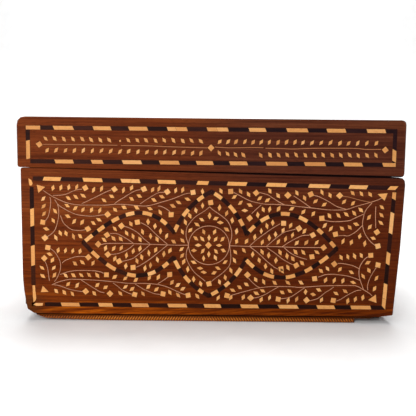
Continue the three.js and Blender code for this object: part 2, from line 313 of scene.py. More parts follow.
def band_piece(side, first, second, half):
    """The outline of one piece of a band between two cuts."""
    start, end = side
    along = (end - start) / np.hypot(*(end - start))
    upward = np.array((-along[1], along[0]))
    across = upward if abs(along[0]) > abs(along[1]) else -upward
    corners = []
    for (at, lean), w in ((first, -half), (second, -half), (second, half), (first, half)):
        gap = PIECE_GAP if (at, lean) == first else -PIECE_GAP
        corners.append(tuple(start + along * (at + lean * w + gap) + across * w))
    return corners


def end_cut(kind, at, inward):
    """Where a side of a band ends: through its corner, butting, bare for a length, or mitred by a lean."""
    if kind == "through":
        return at - inward * BAND_WIDTH / 2, 0.0
    if kind == "butt":
        return at + inward * BAND_WIDTH / 2, 0.0
    if isinstance(kind, tuple):
        return at + inward * kind[1], 0.0
    return at, float(kind)


def lay_side(face, side, bones, ends, pieces):
    """One side of a band: bone pieces where they are set, and dark wood in between."""
    first = end_cut(ends[0], 0.0, 1)
    last = end_cut(ends[1], np.hypot(*(side[1] - side[0])), -1)
    at = first
    filled = []
    for start, stop, lean in bones:
        a = first if start is None else cut_at(side, start, lean)
        b = last if stop is None else cut_at(side, stop, lean)
        if a[0] - at[0] > SHORTEST_DARK_PIECE:
            filled.append(("dark", at, a))
        filled.append(("bone", a, b))
        at = b
    if last[0] - at[0] > SHORTEST_DARK_PIECE:
        filled.append(("dark", at, last))
    for kind, a, b in filled:
        outline = band_piece(side, a, b, BAND_WIDTH / 2)
        pieces[kind].plate(face, outline, BAND_PROUD * chance.uniform(0.5, 1.1), BAND_DEPTH, turn=0.0)


def lay_filler(face, side, pieces):
    """The dark filler at the bottom of a groove."""
    along = (side[1] - side[0]) / np.hypot(*(side[1] - side[0]))
    line = [side[0] - along * BAND_WIDTH / 2, side[1] + along * BAND_WIDTH / 2]
    width = BAND_WIDTH + 2 * GROOVE_CLEARANCE
    pieces["mastic"].strip(face, smooth(line, step=20), width, FILLER_LEVEL, BAND_DEPTH + FILLER_BELOW)


def frame_sides(corners, margins):
    """The centre lines of a band's four sides, each rightwards or upwards."""
    a, b, c, d = inset(corners, [margin + BAND_WIDTH / 2 for margin in margins])
    return {"bottom": (a, b), "right": (b, c), "top": (d, c), "left": (a, d)}


MITRES = {"bottom": (1, -1), "right": (-1, 1), "top": (-1, 1), "left": (1, -1)}


def regular_bones(side, lean, pitch=40.0, length=20.0):
    """Bone pieces at an even pitch, for the sides that the picture doesn't show."""
    start, end = side
    axis = 0 if abs(end[0] - start[0]) > abs(end[1] - start[1]) else 1
    span = end[axis] - start[axis]
    count = max(1, round(span / pitch))
    step = span / count
    bones = []
    for i in range(count):
        middle = start[axis] + step * (i + 0.5) + chance.uniform(-1.2, 1.2)
        half = length / 2 * min(1, step / pitch) + chance.uniform(-0.8, 0.8)
        bones.append((middle - half, middle + half, lean))
    return bones


def lay_frame(face, corners, pieces, margins, bones=None, joints=None):
    """A whole band of four sides with its corners."""
    for name, side in frame_sides(corners, margins).items():
        if name in (bones or {}):
            mine = bones[name]
        else:
            mine = regular_bones(side, 0.35 if name in ("bottom", "left") else -0.35)
        lay_side(face, side, mine, (joints or {}).get(name, MITRES[name]), pieces)
        lay_filler(face, side, pieces)


# Bone pieces of the front bands, as (from, to, lean), read along each side. None stands for the corner.
CARCASS_BONES = {
    "top": [(-174.1, -155.9, .35), (-132.8, -112.8, -.35), (-93.3, -73.8, -.35), (-55.2, -36.5, -.3),
            (-14.4, -2.5, .35), (17.1, 37.3, .35), (57.8, 78.5, .4), (101.8, 123.6, .4),
            (143.9, 162.7, .45), (184.9, 193.4, .8)],
    "bottom": [(-157.3, -137.9, -.35), (-117.7, -102.8, -.35), (-82.8, -64.8, -.4),
               (-44.1, -24.1, -.4), (-5.9, 12, -.35), (33.1, 51.7, -.45), (73.2, 93.7, -.6),
               (114, 132.8, -.45), (149.9, 171, -.35)],
    "left": [(57.6, 79, .3), (99.4, 118, .35)],
    "right": [(None, 26, -.2), (26, 42, -.35), (62.7, 75.4, -.5), (95.5, 117.6, -.4), (131.5, None, -.5)],
}
CARCASS_JOINTS = {
    "top": (("bare", 1.2), "through"),
    "right": (-1, ("bare", 4.4)),
    "bottom": (("bare", 11.4), -1),
    "left": (("bare", 20.2), ("bare", 8.8)),
}
# Worn bone pieces at the corners of the carcass's front band, and wood set in where pieces are gone
CORNER_BONES = [
    [(-189.4, 149.3), (-186.7, 147.9), (-185.2, 144.3), (-186.2, 142.0), (-188.4, 141.9), (-189.0, 144.7)],
    [(-187.4, 36.2), (-184.8, 36.8), (-184.5, 30.3), (-183.8, 23.2), (-184.3, 20.4), (-186.6, 18.2),
     (-187.2, 25.0)],
    [(-187.0, 15.4), (-184.4, 17.4), (-176.8, 17.3), (-177.2, 14.5), (-183.0, 14.3)],
]
CORNER_PATCHES = [
    ("carcass", (-190.6, 138.4), (-184.0, 152.4)),
    ("carcass", (-188.6, 14.0), (-184.1, 36.8)),
    ("carcass", (-188.6, 14.0), (-173.0, 18.3)),
    ("carcass", (186.6, 138.0), (191.5, 145.5)),
    ("lid", (-191.4, 165.0), (-186.9, 169.5)),
]
LID_BONES = {
    "top": [(None, -176.3, 0), (-162.7, -142.3, -.45), (-121.8, -103.5, -.4), (-85.3, -65.8, -.4),
            (-45.4, -36.6, -.4), (-36.6, -25, -.4), (-4.5, 5.8, -.35), (5.8, 17.2, -.35),
            (38.7, 56.1, -.4), (77.6, 99.3, -.4), (118.9, 138.3, -.35), (160.1, 179.3, -.35)],
    "bottom": [(-161.7, -142.6, -.35), (-123.9, -112, -.4), (-91.7, -72, -.4), (-53.4, -33, -.4),
               (-15.2, 2.2, -.35), (19.3, 37.6, -.35), (56.9, 78.8, -.35), (96.8, 118.4, -.4),
               (137.4, 156.6, -.4), (177.7, None, -.4)],
    "left": [(169.5, 188.6, .25)],
    "right": [(170.5, 182.5, -.55)],
}
LID_JOINTS = {"top": ("through", "through"), "left": ("butt", "butt"), "right": ("butt", "butt"),
              "bottom": ("butt", "through")}


# The medallion: each quarter has a lobe of the middle and a lobe of its side. A hand-cut outline, so each
# quarter has its own height and fullness.
LOBES = {
    (1, 1): (56, 0.55),
    (-1, 1): (54, 0.42),
    (-1, -1): (52, 0.56),
    (1, -1): (50, 0.5),
}
MIDDLE_BONES = {
    (-1, 1): [(-7.4, -13.6), (-23.2, -28.6), (-34.2, -37.6)],
    (1, 1): [(3.8, 11.6), (19.3, 25.9), (30.4, 34)],
    (-1, -1): [(-7, -12), (-21, -26.8), (-32.4, -37)],
    (1, -1): [(1.7, 8.6), (15.8, 20.6), (26.8, 32.4)],
}
LOBE_BONES = {
    (-1, 1): [(-123.7, -131.3), (-111.3, -117.9), (-95.8, -103.2), (-79.6, -88.2), (-60.8, -71),
              (-46.2, -51.8)],
    (-1, -1): [(-117.1, -124.1), (-99.6, -109.1), (-78, -87.6), (-57.4, -65.4), (-44, -49.8)],
    (1, 1): [(40.4, 46.2), (52.3, 61), (73.5, 82.8), (92.6, 101.2), (112.1, 117.7), (125.8, 131)],
    (1, -1): [(38.2, 41.4), (41.4, 46), (56.8, 67.8), (80.2, 89.8), (99.8, 107.4), (115.4, 124)],
}


def medallion_curves():
    """The eight curves of the outline, each from a tip to the notch between two lobes, with its bones."""
    slope = math.atan2(-CUT_DROP, LID_LENGTH)
    turn = np.array(((math.cos(slope), -math.sin(slope)), (math.sin(slope), math.cos(slope))))
    for (side, up), (height, fullness) in LOBES.items():
        tip = MEDALLION_RISE if up > 0 else MEDALLION_DROP

        def place(x, z):
            return turn @ np.array((side * x, up * z)) + MEDALLION_CENTRE

        notch = place(*NOTCH)
        turning = place(NOTCH[0] * POINT_TURN_OUT, tip * POINT_TURN_UP)
        yield bezier(place(0, tip), turning, notch), MIDDLE_BONES[side, up]
        half = MEDALLION_HALF_LENGTH
        shoulder = place(half * LOBE_SHOULDER, height * fullness)
        crown = place(half * LOBE_CROWN, height)
        yield bezier(place(half, 0), shoulder, crown, notch), LOBE_BONES[side, up]


def along_curve(curve):
    """Distances along a curve and its directions."""
    steps = np.hypot(*np.diff(curve, axis=0).T)
    run = np.concatenate(((0,), np.cumsum(steps)))
    way = np.gradient(curve, axis=0)
    return run, way / np.hypot(way[:, 0], way[:, 1])[:, None]


def curved_piece(curve, run, way, start, stop, half):
    """The outline of a piece of the band along a curve, from one distance to another."""
    count = max(2, int((stop - start) / 2.5))
    over, under = [], []
    for i in range(count + 1):
        at = start + (stop - start) * i / count
        here = np.array([np.interp(at, run, curve[:, k]) for k in (0, 1)])
        along = np.array([np.interp(at, run, way[:, k]) for k in (0, 1)])
        side = np.array((-along[1], along[0]))
        over.append(tuple(here + side * half))
        under.insert(0, tuple(here - side * half))
    return over + under


def lay_medallion(pieces):
    for curve, bones in medallion_curves():
        run, way = along_curve(curve)
        spans = []
        for pair in bones:
            places = sorted(run[np.argmin(abs(curve[:, 0] - x))] for x in pair)
            spans.append(tuple(places))
        at = -0.4
        filled = []
        for start, stop in sorted(spans):
            if start - at > SHORTEST_DARK_PIECE:
                filled.append(("dark", at, start))
            filled.append(("bone", max(start, at), stop))
            at = stop
        if run[-1] - at > SHORTEST_DARK_PIECE:
            filled.append(("dark", at, run[-1] + 0.4))
        for kind, start, stop in filled:
            outline = curved_piece(curve, run, way, start + PIECE_GAP, stop - PIECE_GAP, BAND_WIDTH / 2)
            middle = np.interp((start + stop) / 2, run, np.arctan2(way[:, 1], way[:, 0]))
            level = BAND_PROUD * chance.uniform(0.5, 1.1)
            pieces[kind].plate(on_front, outline, level, BAND_DEPTH, turn=middle)
        width = BAND_WIDTH + 2 * GROOVE_CLEARANCE
        pieces["mastic"].strip(on_front, curve[::10], width, FILLER_LEVEL, BAND_DEPTH + FILLER_BELOW)


# The sprays on the carcass's front. A leaf is (lean of its long axis in degrees, place), and a row of evenly
# spaced leaves is (lean, count, first, last).
LEAF_ROWS = [
    (70, 4, (-164.1, 139.7), (-139.4, 141.0)), (62, 2, (-121.9, 138.1), (-113.6, 139.4)),
    (70, 2, (-90.8, 138.1), (-82.4, 140.6)), (66, 2, (-60.5, 138.9), (-53.9, 140.1)),
    (75, 2, (-36.5, 138.4), (-29.2, 139.1)), (-35, 3, (-148.2, 129.2), (-132.8, 131.9)),
    (-33, 2, (-111.1, 127.3), (-103.1, 131.6)), (-31, 2, (-82.4, 129.1), (-74.4, 132.2)),
    (-26, 2, (-59.1, 128.2), (-50.8, 131.7)), (-25, 2, (-33.4, 125.9), (-24.1, 129.4)),
    (50, 3, (-174.4, 128.4), (-173.9, 112.6)), (63, 2, (-133.2, 117.2), (-124.2, 117.2)),
    (-28, 2, (-90.2, 120.1), (-77.1, 120.1)), (55, 2, (-142.5, 104.9), (-134.2, 104.1)),
    (-32, 2, (-122.5, 103.4), (-116.6, 106.9)), (-66, 2, (-157.2, 92.4), (-151.2, 92.2)),
    (72, 4, (-159.7, 74.2), (-136.7, 73.4)), (-45, 2, (-142.2, 60.3), (-134.4, 61.6)),
    (-42, 4, (-152.2, 47.4), (-127.5, 48.2)), (-52, 3, (-162.4, 30.5), (-145.3, 27.7)),
    (50, 2, (-149.7, 38.1), (-140.2, 36.9)), (40, 2, (-118.9, 37.4), (-110.2, 35.1)),
    (40, 3, (-100.4, 46.4), (-78.1, 43.4)), (62, 2, (-63.9, 45.7), (-54.4, 46.6)),
    (40, 2, (-89.2, 35.8), (-82.1, 33.7)), (48, 2, (-64.9, 36.2), (-56.4, 33.4)),
    (37, 2, (-33.8, 38.4), (-28.5, 34.4)), (-50, 2, (-33.4, 27.5), (-13.1, 26.6)),
    (62, 3, (9.0, 25.0), (35.6, 25.9)), (-33, 3, (24.3, 33.4), (38.7, 39.8)),
    (-60, 2, (48.4, 45.0), (56.9, 42.8)), (-38, 3, (68.5, 41.9), (96.3, 42.4)),
    (-27, 2, (49.4, 30.4), (56.0, 33.1)), (-40, 2, (76.7, 31.6), (84.7, 33.0)),
    (72, 2, (54.6, 23.5), (63.4, 25.8)), (70, 2, (83.2, 23.1), (92.2, 24.4)),
    (64, 3, (122.2, 45.3), (140.5, 44.8)), (-33, 2, (133.7, 31.1), (143.3, 33.6)),
    (76, 3, (146.4, 23.1), (162.2, 26.9)), (-64, 4, (137.8, 69.7), (158.9, 72.0)),
    (-48, 2, (123.8, 57.6), (117.0, 55.2)), (-50, 3, (147.6, 137.5), (165.8, 136.4)),
    (47, 2, (138.9, 128.4), (148.3, 126.9)), (-45, 3, (133.5, 114.1), (149.9, 116.5)),
    (-40, 3, (178.6, 123.1), (178.2, 106.7)), (-57, 2, (61.4, 138.9), (70.1, 134.1)),
    (-62, 2, (89.6, 137.1), (97.7, 131.9)), (-68, 2, (115.6, 138.1), (124.1, 135.0)),
    (42, 2, (51.0, 131.1), (59.1, 129.2)), (42, 2, (109.2, 128.6), (118.4, 125.3)),
    (50, 2, (96.8, 117.4), (107.2, 115.5)), (52, 2, (119.6, 103.3), (126.1, 100.0)),
    (-45, 2, (137.7, 100.3), (145.8, 101.6)), (57, 2, (165.5, 112.4), (166.7, 102.2)),
    (66, 2, (139.2, 86.9), (148.0, 85.9)), (78, 2, (156.6, 92.4), (162.1, 84.6)),
    (-57, 2, (10.6, 138.3), (31.0, 138.1)), (40, 2, (24.6, 132.3), (31.0, 126.2)),
]
SINGLE_LEAVES = [
    (90, (-8.6, 137.6)), (-30, (-149.6, 121.4)), (40, (-141.2, 118.7)), (65, (-115.6, 116.7)),
    (-45, (-99.6, 117.6)), (-20, (-63.3, 119.1)), (-60, (-52.5, 115.3)), (-25, (-39.4, 122.2)),
    (-50, (-162.3, 115.5)), (-60, (-164.4, 105.5)), (-15, (-171.9, 96.7)), (-25, (-149.1, 110.3)),
    (-70, (-143.4, 88.9)), (-45, (-136.4, 89.4)), (-65, (-161.9, 87.5)), (-20, (-168.7, 69.9)),
    (60, (-165.9, 63.7)), (60, (-123.2, 60.9)), (50, (-164.6, 55.4)), (-40, (-177.0, 55.3)),
    (-40, (-176.4, 46.6)), (55, (-164.1, 47.6)), (-55, (-118.8, 47.9)), (-50, (-122.2, 28.5)),
    (-50, (-94.6, 28.7)), (-55, (-70.6, 28.6)), (-60, (-42.2, 30.4)), (55, (-40.0, 41.1)),
    (90, (-17.1, 44.7)), (-75, (-9.7, 40.0)), (-70, (10.2, 42.2)), (-75, (16.2, 46.9)),
    (-25, (115.4, 34.7)), (-10, (109.4, 29.8)), (-88, (101.4, 32.4)), (65, (118.5, 23.9)),
    (-55, (161.7, 49.8)), (55, (175.8, 47.9)), (60, (174.2, 36.7)), (-15, (151.4, 43.1)),
    (-30, (149.1, 54.0)), (-60, (167.5, 56.2)), (30, (166.1, 64.4)), (55, (136.9, 56.9)),
    (-45, (156.7, 120.0)), (-55, (124.2, 113.5)), (-20, (85.9, 127.5)), (-65, (54.9, 119.4)),
    (80, (61.6, 119.7)), (60, (70.9, 120.3)), (30, (84.6, 120.6)), (-82, (49.3, 113.6)),
    (-60, (39.3, 135.1)), (-28, (40.8, 123.9)), (0, (35.7, 118.2)), (-20, (152.4, 105.0)),
    (-20, (170.7, 90.4)), (-55, (76.0, 54.8)), (-68, (65.2, 54.2)), (-66, (22.1, 54.6)),
]
# Leaves inside the medallion: the side lobes, then the middle
LOBE_LEAVES = [
    (-60, (-83.2, 102.9)), (-50, (-100.0, 97.5)), (-60, (-87.7, 93.1)), (-70, (-81.0, 89.7)),
    (-60, (-73.7, 86.6)), (-70, (-71.1, 94.7)), (90, (-65.2, 105.3)), (80, (-58.0, 100.7)),
    (90, (-62.6, 90.2)), (85, (-52.2, 95.6)), (-65, (-55.8, 86.9)), (65, (-45.8, 90.4)),
    (-35, (-38.4, 84.6)), (-50, (-101.4, 87.3)), (-50, (-93.9, 86.9)), (-40, (-111.3, 85.8)),
    (70, (-109.9, 76.9)), (55, (-101.3, 76.7)), (60, (-93.4, 77.3)), (75, (-80.8, 74.1)),
    (75, (-73.8, 76.9)), (65, (-57.2, 75.7)), (-80, (-64.4, 72.2)), (-72, (-71.9, 67.8)),
    (-70, (-76.9, 63.7)), (80, (-88.0, 69.5)), (65, (-100.2, 65.9)), (80, (-88.7, 58.1)),
    (-75, (-55.4, 65.2)), (85, (-48.6, 71.4)), (65, (-42.2, 75.1)), (85, (-62.7, 59.2)),
    (80, (-68.5, 56.0)), (90, (65.1, 105.6)), (-75, (59.1, 102.2)), (90, (53.3, 96.7)),
    (80, (46.6, 90.3)), (70, (54.6, 84.9)), (90, (61.8, 89.6)), (90, (68.3, 93.4)),
    (65, (76.1, 97.8)), (65, (83.9, 102.8)), (75, (86.1, 92.8)), (75, (78.9, 88.6)),
    (60, (71.4, 85.6)), (55, (98.5, 97.1)), (50, (90.8, 84.6)), (55, (100.8, 85.1)),
    (55, (111.6, 85.1)), (-65, (54.6, 74.7)), (85, (44.7, 71.9)), (85, (61.6, 71.2)),
    (-65, (73.4, 74.5)), (-80, (80.9, 70.6)), (-50, (89.7, 75.0)), (-50, (97.9, 74.7)),
    (-35, (112.2, 75.0)), (-55, (87.1, 67.7)), (-45, (96.9, 63.3)), (-60, (82.1, 58.3)),
    (85, (69.3, 65.8)), (-70, (51.7, 65.8)), (85, (58.5, 59.4)),
]
MIDDLE_LEAVES = [
    (-65, (-21.7, 112.2)), (-70, (-26.2, 105.2)), (-65, (-29.3, 95.1)), (-45, (-29.1, 85.9)),
    (40, (-30.1, 76.7)), (50, (-29.4, 69.9)), (65, (-27.7, 63.4)), (85, (-23.4, 55.4)),
    (-35, (-14.0, 103.0)), (-30, (-9.1, 108.1)), (90, (-1.0, 112.2)), (25, (5.6, 109.5)),
    (-3, (10.2, 105.3)), (-35, (17.0, 98.1)), (85, (22.7, 107.6)), (80, (27.4, 96.2)),
    (70, (27.7, 85.7)), (60, (38.1, 85.8)), (-50, (26.4, 74.2)), (-50, (35.4, 76.1)),
    (-60, (25.7, 65.3)), (50, (-21.0, 96.9)), (-25, (-17.2, 62.9)), (-5, (-10.5, 56.6)),
    (-25, (8.4, 56.9)), (35, (15.9, 63.4)), (-5, (-6.5, 52.4)), (25, (4.4, 51.9)),
    (90, (-8.4, 122.8)), (85, (9.3, 120.9)), (-75, (-15.4, 117.8)), (70, (16.8, 115.0)),
]
ROSETTE = [
    (90, (-1.3, 89.2)), (55, (5.6, 87.6)), (0, (9.2, 81.2)), (-50, (6.2, 74.7)),
    (90, (-1.4, 71.6)), (55, (-7.7, 75.0)), (0, (-12.6, 81.1)), (-50, (-8.4, 87.8)),
    (-68, (-6.9, 95.3)), (65, (4.4, 95.3)), (50, (12.9, 87.8)), (-25, (13.8, 75.8)),
    (-65, (5.6, 68.1)), (90, (-6.8, 67.2)), (0, (-17.1, 75.5)), (-40, (-15.2, 88.4)),
]
# Squares as (turn in degrees, place)
SQUARES = [
    (30, (-130.6, 140.0)), (35, (-100.2, 139.0)), (25, (-69.6, 139.4)), (35, (-45.2, 136.9)),
    (10, (-18.5, 136.6)), (0, (-41.1, 113.0)), (40, (-107.5, 112.5)), (-10, (-175.3, 103.7)),
    (40, (-173.4, 87.2)), (30, (-128.2, 97.2)), (-10, (-170.6, 76.9)), (45, (-174.4, 65.6)),
    (40, (-128.1, 67.2)), (0, (-109.1, 48.6)), (40, (-131.2, 30.5)), (45, (-105.6, 28.3)),
    (-15, (-79.4, 27.8)), (-10, (-49.4, 28.7)), (5, (-42.4, 49.5)), (10, (-22.9, 27.5)),
    (-15, (18.4, 27.5)), (45, (39.6, 50.0)), (45, (43.4, 25.3)), (-10, (72.6, 24.2)),
    (40, (102.6, 23.4)), (-10, (131.0, 23.6)), (10, (110.5, 46.7)), (5, (168.9, 72.2)),
    (-10, (176.9, 62.1)), (40, (130.9, 62.7)), (15, (176.0, 82.2)), (35, (174.4, 96.9)),
    (15, (131.1, 94.1)), (5, (116.3, 110.9)), (45, (134.2, 134.7)), (25, (104.2, 135.9)),
    (45, (80.2, 134.6)), (40, (47.2, 136.7)), (5, (20.7, 138.0)), (40, (41.0, 110.2)),
    (10, (-76.4, 104.7)), (40, (-93.1, 100.7)), (35, (-108.2, 90.9)), (45, (-117.5, 81.1)),
    (40, (-107.5, 70.3)), (30, (-95.8, 63.1)), (5, (-81.0, 56.7)), (0, (76.6, 105.2)),
    (35, (92.7, 100.0)), (30, (107.4, 93.1)), (40, (119.1, 79.9)), (10, (107.1, 70.1)),
    (30, (90.8, 60.8)), (10, (74.9, 56.9)), (10, (-0.1, 126.1)), (15, (-0.9, 40.0)),
    (45, (-1.9, 81.2)),
]
TRIANGLES = [
    ((-181.0, 142.8), (-179.4, 134.3), (-172.2, 140.6)),
    ((-176.5, 36.0), (-178.8, 29.2), (-170.4, 29.6)),
    ((183.9, 137.8), (173.6, 136.8), (181.1, 129.9)),
    ((175.9, 30.3), (168.0, 24.4), (176.9, 21.3)),
]
# Wires
WIRES = [
    # top left
    [(-174.5, 137), (-169.5, 133.7), (-164, 130.3), (-158, 127.5), (-152, 125), (-145, 123.2), (-137, 122.2),
     (-125, 122.2), (-110, 122.3), (-100, 123.2), (-92, 123.3), (-80, 122.5), (-70, 121.8), (-62, 122.8),
     (-52, 125.8), (-40, 129.5), (-33, 132.3), (-27, 134.8), (-21.5, 135.8)],
    [(-164.5, 131.9), (-157, 132.2), (-150.6, 133.4), (-145, 135.9), (-140, 137.8), (-134, 138.8)],
    [(-134.3, 123.6), (-129.4, 125.9), (-123.7, 128.7), (-116.1, 132.5), (-108, 136.6), (-103.4, 138.2)],
    [(-100.2, 123.8), (-97.4, 126.2), (-91.7, 129.7), (-82.4, 135.6), (-78, 137.8), (-72.8, 138.9)],
    [(-73.4, 124), (-66.7, 128.7), (-57.4, 134.4), (-53.6, 136), (-48, 136.3)],
    [(-55, 122), (-51.7, 121.6), (-48, 120), (-44.9, 118.1), (-42.3, 116)],
    [(-162.5, 127.5), (-158.7, 122), (-151.2, 117.2), (-141.9, 112.8), (-133, 111.1), (-123, 110.6),
     (-113.6, 111.9), (-110.6, 112.1)],
    [(-167.6, 130), (-166.7, 127), (-167.3, 119.4), (-169.1, 111.2), (-170.6, 108), (-173, 105)],
    [(-160.4, 124.3), (-158.9, 120), (-158.5, 112), (-159.7, 105), (-162.5, 96.2), (-166.5, 91.5),
     (-171, 88.5)],
    [(-156.8, 111), (-155.6, 107.5), (-153.7, 103.1), (-147.5, 97.5), (-143.7, 95.9), (-138.7, 95.3),
     (-134.4, 95.6), (-131, 96.3)],
    # bottom left
    [(-166.9, 37.2), (-160, 40.3), (-150, 43), (-143.7, 43.4), (-123.7, 42.8), (-104.2, 41.4), (-94.9, 40.5),
     (-85.5, 39.7), (-66.7, 39.7), (-54.2, 38.6), (-44.2, 35.9), (-37.2, 32.7), (-29.7, 29.4), (-25.5, 28)],
    [(-165, 37.3), (-160, 36.6), (-155, 35), (-150, 33.1), (-143.7, 31.6), (-137.5, 30.5), (-133.6, 30.2)],
    [(-135.8, 42.6), (-131.2, 39.7), (-125, 35.6), (-119.2, 32), (-115.5, 30), (-111.5, 29.3)],
    [(-102.3, 40), (-98, 36.9), (-93.6, 33.1), (-89.2, 30.6), (-84.2, 28.4), (-82, 28)],
    [(-78.8, 38.9), (-73.6, 35.6), (-68.6, 32.8), (-58.6, 28.9), (-52.5, 28)],
    [(-55, 39.6), (-51.1, 41.9), (-48, 44.1), (-43.6, 47.2)],
    [(-158, 48.3), (-153.7, 50), (-148.7, 51.6), (-142.5, 52.6), (-136.2, 52.9), (-123, 52.8), (-115.5, 51.6),
     (-112, 50.2)],
    [(-169.4, 41.7), (-170, 45.6), (-171, 54), (-172.2, 58.7), (-173.6, 62)],
    [(-164.2, 40.6), (-161.9, 43.7), (-158.7, 50.6), (-157.4, 57), (-158.4, 63.7), (-163.1, 71.9),
     (-168.3, 76.3)],
    [(-155.8, 60.7), (-151.9, 63.7), (-142.5, 67.2), (-136.2, 67.9), (-130.5, 67.8)],
    # bottom right
    [(171.9, 29), (168, 32.2), (159.9, 36.9), (155.5, 39.1), (150.5, 39.7), (132.4, 39.5), (116, 38.9),
     (106.6, 38.1), (94.1, 37.2), (86, 37.8), (66, 37.8), (52.2, 36.2), (46, 34.7), (33.4, 31.1),
     (21.5, 27.4)],
    [(100.4, 36.8), (97.2, 34.7), (88.5, 28.4), (84.1, 26.2), (79.7, 25.2), (74.8, 24.7)],
    [(72.4, 37.4), (64.1, 32.5), (59.7, 29.7), (51.6, 26.2), (46, 25.2)],
    [(53.1, 36.4), (49.7, 38.1), (44.7, 42.2), (40.8, 46.5)],
    [(131, 38), (126.7, 34.7), (122.2, 31.9), (117.9, 28.1), (113.5, 25), (106, 22.9)],
    [(160, 34.8), (155.5, 34.4), (146.7, 30), (138.6, 24.7), (134.2, 23)],
    [(159.5, 44.6), (156.7, 46.2), (148, 49.2), (141.7, 50.5), (129.2, 51.7), (122.2, 51.2), (118.5, 50),
     (114.2, 48.4)],
    [(162.5, 35.7), (159.9, 42.5), (157.6, 49.4), (157.2, 57), (159.2, 63.1), (163.6, 69.1), (167, 71)],
    [(157.2, 57.9), (149.9, 61.2), (139.9, 63.2), (134.5, 63.4)],
    [(167.2, 35), (166.7, 40), (169.2, 48.7), (174.9, 59.1), (175.7, 60.4)],
    # top right
    [(178.5, 132.8), (173, 130.3), (163.6, 127.2), (153, 124.1), (142.4, 120.5), (135.5, 119.8), (123, 119.8),
     (105.4, 121.6), (89.7, 123.1), (81.6, 124.1), (66, 125), (57.2, 125), (46.6, 126.9), (40.2, 128.7),
     (30.2, 133.7), (23.8, 137)],
    [(76.8, 124.8), (72.2, 126.9), (64.1, 131.9), (59.7, 134.7), (50.5, 137.3)],
    [(104.6, 121.7), (95.4, 128.1), (86.4, 134)],
    [(141.3, 120.6), (131.7, 123.4), (123.5, 128.1), (113.5, 133.1), (107.5, 134.8)],
    [(167.6, 128.1), (158, 129.7), (148, 132.2), (143.6, 133.4), (137.8, 134)],
    [(168, 127.5), (161.7, 119.4), (159.5, 111), (159.1, 104), (161.7, 95.6), (167.4, 87.5), (173.2, 82.7)],
    [(159.8, 115.7), (151.1, 111.6), (144.9, 108.7), (132.4, 107.5), (122.2, 108.1), (118.5, 109.3)],
    [(158.8, 103.6), (152.4, 97.2), (144.9, 92.8), (139.9, 93), (134.3, 92.7)],
    [(172.2, 123.8), (172.2, 113.7), (173, 101.2)],
    [(43, 114.9), (46.6, 118.7), (52.8, 124.3)],
    # the left lobe
    [(-114.5, 80.6), (-108.6, 81.9), (-91.7, 82.3), (-73, 81.9), (-54.2, 81.4), (-37, 80.9), (-22.9, 81.1)],
    [(-81, 82.6), (-86.7, 86.6), (-94.9, 91.2), (-99.2, 92.6), (-105.2, 92.4)],
    [(-63.6, 82.5), (-69.9, 87.5), (-76.1, 93.7), (-84.2, 98.4), (-90, 100.3)],
    [(-45, 81.7), (-56.7, 91.9), (-64.2, 99.4), (-68, 101.9), (-73, 104.4)],
    [(-80, 81.1), (-86.1, 76.2), (-94.2, 72.2), (-99.2, 70.9), (-104.6, 70.4)],
    [(-63, 81.4), (-70.5, 74.7), (-78.6, 68.1), (-83, 65.6), (-92.6, 63)],
    [(-45, 80.8), (-53.6, 73.7), (-63.6, 65.6), (-73, 59.4), (-77.6, 57)],
    # the right lobe
    [(20.5, 80.9), (45, 80.3), (66, 80.5), (87.9, 79.9), (109.7, 79.9), (116, 79.9)],
    [(41.6, 81), (48.5, 87.5), (56.6, 93.7), (64.7, 99.7), (73, 104.7)],
    [(59, 80.7), (66, 86.9), (73.5, 93.1), (78.5, 96.2), (89.2, 99.1)],
    [(75.7, 80.5), (82.2, 85), (90.4, 89.7), (97, 92.5), (104, 93)],
    [(42, 79.9), (49.7, 74.1), (59.7, 65), (67.9, 58.4), (71.8, 56.6)],
    [(59.7, 79.1), (67.9, 73.7), (76, 67.5), (84.7, 62.5), (88, 61.3)],
    [(77.7, 79.3), (84.7, 73.7), (92.9, 69.7), (101.9, 67.2)],
    # the pointed oval round the rosette, in its two halves
    [(-1, 121.7), (-6, 117.5), (-16, 110.9), (-21.6, 104.4), (-24.6, 99.5), (-25.5, 92), (-24.6, 86.9),
     (-22.7, 81), (-24.6, 75.5), (-25.2, 70), (-24.6, 66.2), (-21, 58.7), (-16, 51.9), (-9.1, 46.2),
     (-4.8, 42.8)],
    [(-1, 121.7), (2.7, 118.4), (12.1, 111.9), (18.5, 106), (21.8, 98.1), (22.5, 91), (21.2, 84.4),
     (20.4, 81), (21.3, 75), (21.8, 67.5), (20.2, 59.5), (13.4, 51.9), (5.2, 45.6), (1.8, 42.6)],
]
WIRE_CIRCLE = ((-1.3, 81.1), 21.4, 20.5)


def leaf(lean, place):
    """A lozenge, cut by hand: its corners wander and its sides are skewed."""
    turn = math.radians(lean)
    along = np.array((math.cos(turn), math.sin(turn)))
    across = np.array((-along[1], along[0]))
    long = LEAF_HALF_LENGTH * chance.uniform(0.92, 1.06)
    wide = LEAF_HALF_WIDTH * chance.uniform(0.9, 1.08)
    skew = chance.uniform(-0.1, 0.5) * (1 if lean > 0 else -1)
    middle = np.array(place)
    return [tuple(middle + along * a + across * b)
            for a, b in ((long, 0), (skew, wide), (-long, 0), (-skew, -wide))]


def square(turn, place, side=SQUARE_SIDE):
    corners = []
    for k in range(4):
        at = math.radians(turn + 45 + 90 * k)
        reach = side / math.sqrt(2) * chance.uniform(0.93, 1.05)
        corners.append((place[0] + reach * math.cos(at), place[1] + reach * math.sin(at)))
    return corners


def set_piece(face, outline, pieces, tone=None, turn=0.0):
    """A bone piece let into the wood in a thin line of dark filler."""
    outline = anticlockwise(outline)
    pieces["bone"].plate(face, outline, LEAF_PROUD, SET_DEPTH, tone=tone, turn=turn)
    rim = grown(outline, MASTIC_RIM)
    pieces["mastic"].plate(face, rim, MASTIC_PROUD, SET_DEPTH + FILLER_BELOW, chamfer=MASTIC_CHAMFER)


